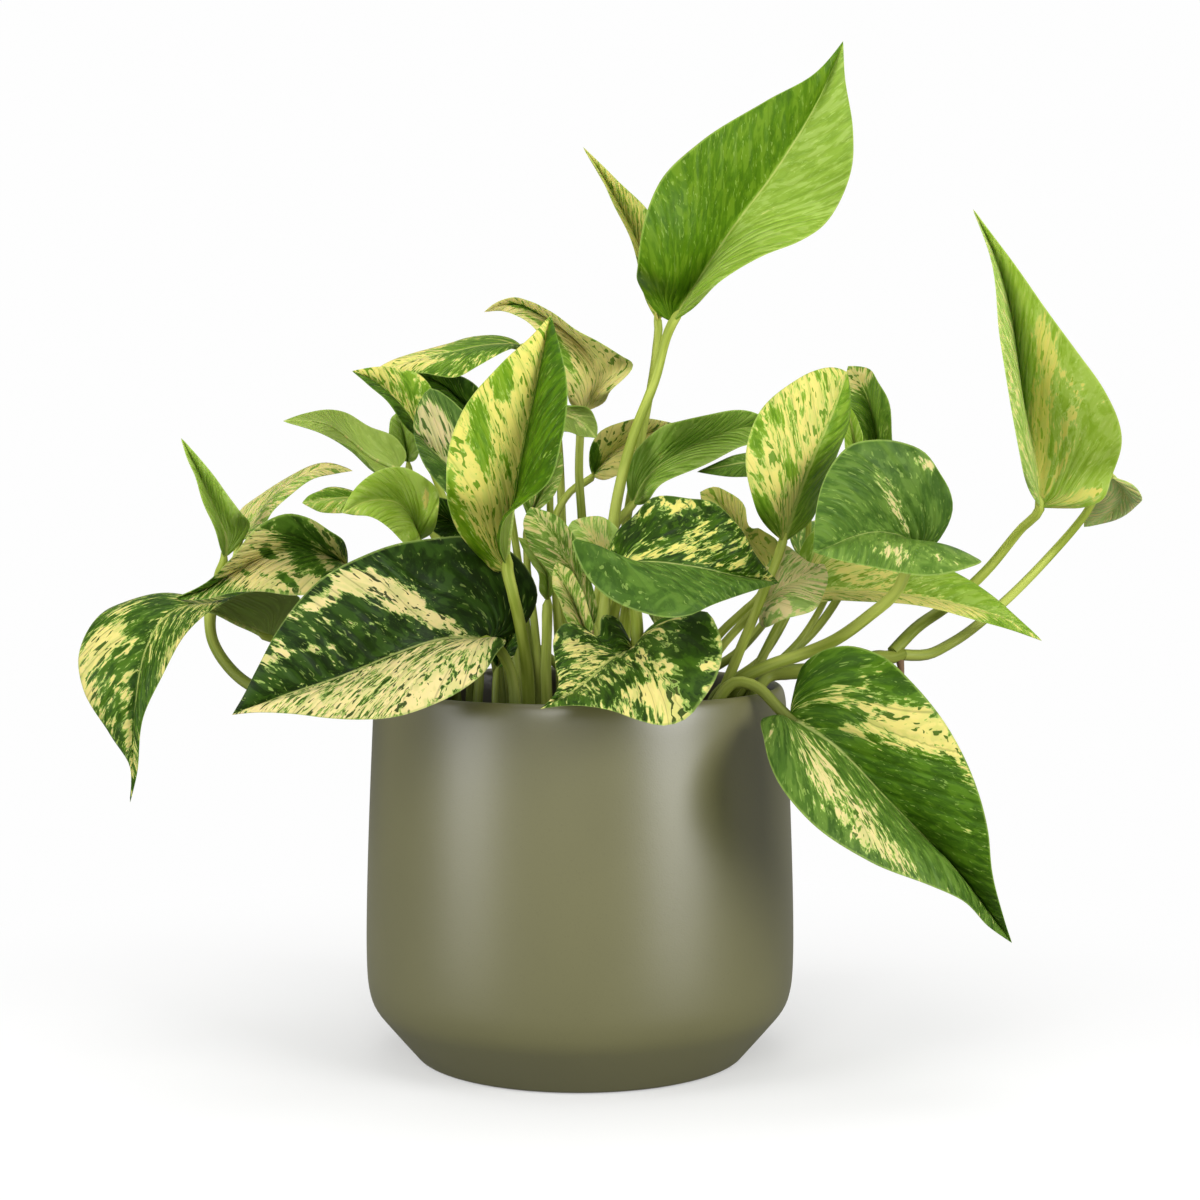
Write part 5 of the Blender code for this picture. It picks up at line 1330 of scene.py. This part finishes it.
def stalk_path(start, path, hole):
    """Points in mm from the start, along the path, and straight down into the hole."""
    points = [*start, *[seen(*point) for point in path]]
    if hole is not None:
        x, y = hole
        points += [np.array([x, y, z]) for z in STALK_FOOT]
    return np.array(points)


def path_length(path):
    """Length of a path in mm: the sum of its steps."""
    return np.linalg.norm(np.diff(path, axis=0), axis=1).sum()


def stalk_tube(spec, midrib):
    """The stalk: its radius goes evenly from blade to foot, with a swelling
    1 + h exp(-((d - c) / w)^2) below the blade, and a fine start inside the blade."""
    start = [smooth(midrib, [STALK_START])[0], midrib[0]]
    path = stalk_path(start, spec["stalk"], spec["hole"])
    length = path_length(path)
    shares = np.linspace(0, 1, max(8, int(length / STALK_STEP)))
    radius = spec["radii"][0] + (spec["radii"][1] - spec["radii"][0]) * shares
    height, centre, width = SWELLING
    radius = radius * (1 + height * np.exp(-((shares * length - centre) / width)**2))
    radius = radius * np.clip(FINE_START[0] + shares * length / FINE_START[1], 0, 1)
    return tube(smooth(path, shares), radius, STALK_SIDES, GROOVE)


def crumbs(count, size, seed):
    """Points and faces of small uneven grains on the soil: icosahedra that lie where a seeded
    draw puts them, and whose corners are moved in or out by later draws. A face is every three
    corners that are near each other."""
    draw = np.random.default_rng(seed)
    golden = (1 + 5**0.5) / 2
    corners = np.array([(s, g * golden, 0) for s in (-1, 1) for g in (-1, 1)], float)
    corners = unit(np.vstack([corners, np.roll(corners, 1, 1), np.roll(corners, 2, 1)]))
    gaps = np.linalg.norm(corners[:, None] - corners, axis=2)
    near = gaps < LONGEST_SIDE
    hull = np.argwhere(near[:, :, None] & near[None] & near[:, None])
    hull = hull[(np.diff(hull, axis=1) > 0).all(axis=1)]
    inward = np.linalg.det(corners[hull]) < 0
    faces = np.where(inward[:, None], hull[:, ::-1], hull)
    radius = (SOIL_EDGE - CRUMB_MARGIN) * np.sqrt(draw.random(count))
    angle = draw.random(count) * 2 * np.pi
    place = np.stack([radius * np.cos(angle), radius * np.sin(angle)], -1)
    height = soil_height(place[:, 0], place[:, 1])
    scale = size * (BIT_SIZE[0] + BIT_SIZE[1] * draw.random((count, 1, 1)))
    out = BIT_CORNER[0] + BIT_CORNER[1] * draw.random((count, 12, 1))
    grains = corners[None] * scale * out * np.array(BIT_SHAPE)
    grains = grains + np.stack([place[:, 0], place[:, 1], height], -1)[:, None]
    index = faces[None] + 12 * np.arange(count)[:, None, None]
    return grains.reshape(-1, 3), index.reshape(-1, 3)


def soil_height(x, y):
    """Height of the soil in mm: a middle raised by 1 - (r / R)^2, and waves h sin(a x + b y + c)
    that make lumps of three sizes."""
    height = SOIL_TOP - SOIL_CROWN * (np.hypot(x, y) / SOIL_EDGE)**2
    for size, east, north, start in SOIL_WAVES:
        height = height + size * np.sin(east * x + north * y + start)
    return height


def cut_corners(profile, times):
    """Rounds a profile: each round keeps the points at a quarter and three quarters of each
    length, and both ends."""
    points = np.asarray(profile, float)
    for _ in range(times):
        first = 0.75 * points[:-1] + 0.25 * points[1:]
        second = 0.25 * points[:-1] + 0.75 * points[1:]
        inner = np.stack([first, second], 1).reshape(-1, 2)
        points = np.vstack([points[:1], inner, points[-1:]])
    return points


def turned(profile, steps):
    """Points and faces of a profile turned about +Z: (r cos a, r sin a, z), closed at both
    ends, which lie on the axis."""
    angle = np.arange(steps) * 2 * np.pi / steps
    rings = np.stack([
        profile[1:-1, :1] * np.cos(angle), profile[1:-1, :1] * np.sin(angle),
        np.repeat(profile[1:-1, 1:], steps, axis=1),
    ], -1)
    ends = np.array([(0, 0, profile[0, 1]), (0, 0, profile[-1, 1])])
    count = len(profile) - 2
    index = np.arange(count * steps).reshape(count, steps)
    index = np.hstack([index, index[:, :1]])
    pole = np.full((1, steps + 1), count * steps)
    index = np.vstack([pole, index, pole + 1])
    return np.vstack([rings.reshape(-1, 3), ends]), grid_faces(index)


class PothosSizes(bpy.types.PropertyGroup):
    """Sizes and colours that a user would change"""
    blade: bpy.props.FloatProperty(
        name="Blade thickness", description="Thickness of a leaf blade at its middle",
        default=0.0004, min=0.0002, max=0.0007, unit="LENGTH", subtype="DISTANCE")
    furrow: bpy.props.FloatProperty(
        name="Midrib furrow", description="How deep the midrib lies in the upper face",
        default=0.0005, min=0, max=0.001, unit="LENGTH", subtype="DISTANCE")
    wave: bpy.props.FloatProperty(
        name="Rim wave", description="Height of the wave along a blade's rim",
        default=0.0005, min=0, max=0.001, unit="LENGTH", subtype="DISTANCE")
    glaze: bpy.props.FloatVectorProperty(
        name="Glaze", description="Colour of the pot", subtype="COLOR", size=3,
        default=linear("#5d5b37"), min=0, max=1)
    soil: bpy.props.FloatVectorProperty(
        name="Soil", description="Colour of the soil", subtype="COLOR", size=3,
        default=linear("#1d1610"), min=0, max=1)
    cream: bpy.props.FloatVectorProperty(
        name="Cream", description="Colour of the palest marbling", subtype="COLOR", size=3,
        default=linear("#c7b68a"), min=0, max=1)
    lime: bpy.props.FloatVectorProperty(
        name="Lime", description="Colour of the yellow marbling", subtype="COLOR", size=3,
        default=linear("#cac063"), min=0, max=1)
    pale: bpy.props.FloatVectorProperty(
        name="Pale green", description="Colour between green and cream", subtype="COLOR", size=3,
        default=linear("#a3b860"), min=0, max=1)
    underside: bpy.props.FloatVectorProperty(
        name="Underside", description="Cast of a leaf's underside", subtype="COLOR", size=3,
        default=linear("#a9b55c"), min=0, max=1)
    stalk: bpy.props.FloatVectorProperty(
        name="Stalk", description="Colour of the stalks", subtype="COLOR", size=3,
        default=linear("#84942e"), min=0, max=1)
    stalk_pale: bpy.props.FloatVectorProperty(
        name="Stalk streaks", description="Colour of the streaks on the stalks",
        subtype="COLOR", size=3, default=linear("#bcc65c"), min=0, max=1)
    stalk_foot: bpy.props.FloatVectorProperty(
        name="Stalk foot", description="Colour of the stalks down in the pot", subtype="COLOR",
        size=3, default=linear("#3a4512"), min=0, max=1)


class POTHOS_OT_pot(bpy.types.Operator):
    """Makes the ceramic pot"""
    bl_idname = "pothos.pot"
    bl_label = "Pot"

    def execute(self, context):
        points, faces = turned(cut_corners(POT_PROFILE, POT_ROUNDS), POT_SIDES)
        piece = make_piece("pot_glazed", points, faces[:, ::-1], "pot")
        piece.data.materials.append(ceramic(context.scene.pothos))
        return {"FINISHED"}


class POTHOS_OT_soil(bpy.types.Operator):
    """Makes the soil with its crumbs and white grains"""
    bl_idname = "pothos.soil"
    bl_label = "Soil"

    def execute(self, context):
        outwards = np.linspace(0, SOIL_EDGE, SOIL_RINGS)
        top = np.stack([outwards, np.full(SOIL_RINGS, SOIL_TOP)], -1)
        points, faces = turned(np.vstack([top, SOIL_WALL]), SOIL_SIDES)
        surface = points[:, 2] == SOIL_TOP
        x, y = points[surface, 0], points[surface, 1]
        points[surface, 2] = soil_height(x, y)
        soil = make_piece("soil_top", points, faces[:, ::-1], "soil")
        dark = earth(context.scene.pothos)
        soil.data.materials.append(dark)
        white = plain_material("Perlite, puffed glass", PERLITE, 0.9)
        for name, bits, material in (
            ("soil_crumbs", CRUMBS, dark), ("soil_grains", GRAINS, white),
        ):
            points, faces = crumbs(*bits)
            grains = make_piece(name, points, faces, None, 30)
            grains.data.materials.append(material)
        return {"FINISHED"}


class POTHOS_OT_vines(bpy.types.Operator):
    """Makes the two trailing vines"""
    bl_idname = "pothos.vines"
    bl_label = "Vines"

    def execute(self, context):
        skin = stalk_skin(context.scene.pothos)
        brown = plain_material("Aerial root, dry bark", ROOT_BARK, 0.8)
        for seed, (name, spec) in enumerate(VINES.items()):
            path = stalk_path([], spec["path"], spec["hole"])
            length = path_length(path)
            shares = np.linspace(0, 1, int(length / VINE_STEP))
            radius = spec["radii"][0] + (spec["radii"][1] - spec["radii"][0]) * shares
            for place in spec["nodes"]:
                near = (shares - place) * length
                swell, ring = [
                    size * np.exp(-(near / width)**2) for size, width in (NODE, NODE_RING)
                ]
                radius = radius * (1 + swell - ring)
            parts = [tube(smooth(path, shares), radius, VINE_SIDES)]
            if name == "vine_right":
                root = smooth(seen_all(ROOT_STUB), np.linspace(0, 1, ROOT_RINGS))
                parts.append(tube(root, np.linspace(*ROOT_RADII, ROOT_RINGS), ROOT_SIDES))
            faces = [parts[0][1]] + [part[1] + len(parts[0][0]) for part in parts[1:]]
            points = np.vstack([part[0] for part in parts])
            piece = make_piece(name + "_skin", points, np.vstack(faces), name)
            fields = [round_fields(part, VINE_ROUND, VINE_SEED + seed) for part in parts]
            set_fields(piece, vein=np.vstack(fields))
            kinds = np.repeat([0, 1][:len(parts)], [len(part[1]) for part in parts])
            set_kinds(piece, kinds, [skin, brown])
        return {"FINISHED"}


class POTHOS_OT_leaves(bpy.types.Operator):
    """Makes every leaf with its stalk"""
    bl_idname = "pothos.leaves"
    bl_label = "Leaves"

    def execute(self, context):
        sizes = context.scene.pothos
        materials = [leaf_upper(sizes), leaf_under(sizes), stalk_skin(sizes)]
        step, first = LEAF_SEEDS
        for number, spec in enumerate(LEAVES):
            name = spec["name"]
            looks = LOOKS[name]
            seed = step * number + first
            points, faces, kinds, fields = leaf_arrays(spec, looks, seed, sizes)
            piece = make_piece("fine_" + name, points, faces, "leaf_" + name)
            set_fields(piece, **fields)
            set_kinds(piece, kinds, materials)
        return {"FINISHED"}


def soft_box(name, place, aim, size, power):
    """A square soft light of this power in watts at a place in metres, turned to the aim."""
    light = bpy.data.lights.new(name, "AREA")
    light.shape = "RECTANGLE"
    light.size, light.size_y = size
    light.energy = power
    lamp = bpy.data.objects.new(name, light)
    bpy.context.scene.collection.objects.link(lamp)
    lamp.location = place
    lamp.rotation_euler = (Vector(aim) - Vector(place)).to_track_quat("-Z", "Y").to_euler()
    return lamp


class POTHOS_OT_stage(bpy.types.Operator):
    """Makes the floor, the lights, the sky and the camera"""
    bl_idname = "pothos.stage"
    bl_label = "Stage"

    def execute(self, context):
        scene = context.scene
        floor_mesh = bpy.data.meshes.new("floor")
        around = np.arange(FLOOR_SIDES) * 2 * np.pi / FLOOR_SIDES
        ring = FLOOR_RADIUS * np.stack([np.cos(around), np.sin(around), 0 * around], -1)
        ring[:, 2] = -FLOOR_GAP
        floor_mesh.from_pydata(ring.tolist(), [], [list(range(FLOOR_SIDES))])
        floor = bpy.data.objects.new("floor", floor_mesh)
        scene.collection.objects.link(floor)
        floor_mesh.materials.append(floor_material())
        for name, light in LIGHTS.items():
            soft_box(name, *light)
        make_sky(scene)
        scene.view_settings.view_transform = "Standard"
        camera_data = bpy.data.cameras.new("camera")
        camera_data.sensor_width = SENSOR
        camera_data.lens = VIEW_SCALE * SENSOR / VIEW_WIDTH
        camera = bpy.data.objects.new("camera", camera_data)
        scene.collection.objects.link(camera)
        camera.location = EYE * MM
        aim = Vector((EYE[0] * MM, 0, AIM_HEIGHT * MM))
        camera.rotation_euler = (aim - camera.location).to_track_quat("-Z", "Y").to_euler()
        scene.camera = camera
        return {"FINISHED"}


def floor_material():
    """Painted studio floor: matt white, turning into plain white light far from the pot, so
    that floor and backdrop meet without a line. As a source of light it is dimmer."""
    material, tree, shader = new_material("Studio floor, matt white paint")
    shader.inputs["Base Color"].default_value = (*linear(FLOOR_PAINT), 1)
    shader.inputs["Roughness"].default_value = 0.9
    shader.inputs["Specular IOR Level"].default_value = 0.1
    far = add(tree, "VectorMath", {0: add(tree, "TexCoord", out=3)}, out=1, operation="LENGTH")
    glow = add(tree, "Emission", {0: (1, 1, 1, 1), 1: BACKDROP})
    low, high, most = STEPS["white floor"]
    white = add(tree, "MapRange", {0: far, 1: low, 2: high, 3: FLOOR_LIGHT, 4: most},
                interpolation_type="SMOOTHSTEP")
    mixed = add(tree, "MixShader", {0: white, 1: shader.outputs[0], 2: glow})
    dim = add(tree, "BsdfDiffuse", {0: (*linear(FLOOR_BOUNCE), 1)})
    mixed = add(tree, "MixShader", {0: add(tree, "LightPath"), 1: dim, 2: mixed})
    tree.links.new(mixed, tree.nodes["Material Output"].inputs[0])
    return material


def make_sky(scene):
    """A white sky: full white where the camera looks at it, dimmer as a source of light."""
    world = bpy.data.worlds.new("studio sky")
    world.use_nodes = True
    scene.world = world
    tree = world.node_tree
    sky = tree.nodes["Background"]
    sky.inputs[0].default_value = (1, 1, 1, 1)
    strength = add(tree, "MapRange", {0: add(tree, "LightPath"), 3: SKY_LIGHT, 4: BACKDROP})
    tree.links.new(strength, sky.inputs[1])


class POTHOS_PT_panel(bpy.types.Panel):
    """Lists the operators and the sizes"""
    bl_idname = "POTHOS_PT_panel"
    bl_label = "Pothos"
    bl_space_type = "VIEW_3D"
    bl_region_type = "UI"
    bl_category = "Pothos"

    def draw(self, context):
        for kind in OPERATORS:
            self.layout.operator(kind.bl_idname)
        for name in PothosSizes.__annotations__:
            self.layout.prop(context.scene.pothos, name)


OPERATORS = (POTHOS_OT_pot, POTHOS_OT_soil, POTHOS_OT_vines, POTHOS_OT_leaves, POTHOS_OT_stage)


def register():
    for kind in (PothosSizes, *OPERATORS, POTHOS_PT_panel):
        bpy.utils.register_class(kind)
    bpy.types.Scene.pothos = bpy.props.PointerProperty(type=PothosSizes)


def unregister():
    del bpy.types.Scene.pothos
    for kind in (POTHOS_PT_panel, *reversed(OPERATORS), PothosSizes):
        bpy.utils.unregister_class(kind)


def main():
    """Makes the scene piece by piece."""
    register()
    bpy.ops.pothos.stage()
    bpy.ops.pothos.pot()
    bpy.ops.pothos.soil()
    bpy.ops.pothos.vines()
    bpy.ops.pothos.leaves()


if __name__ == "__main__":
    main()
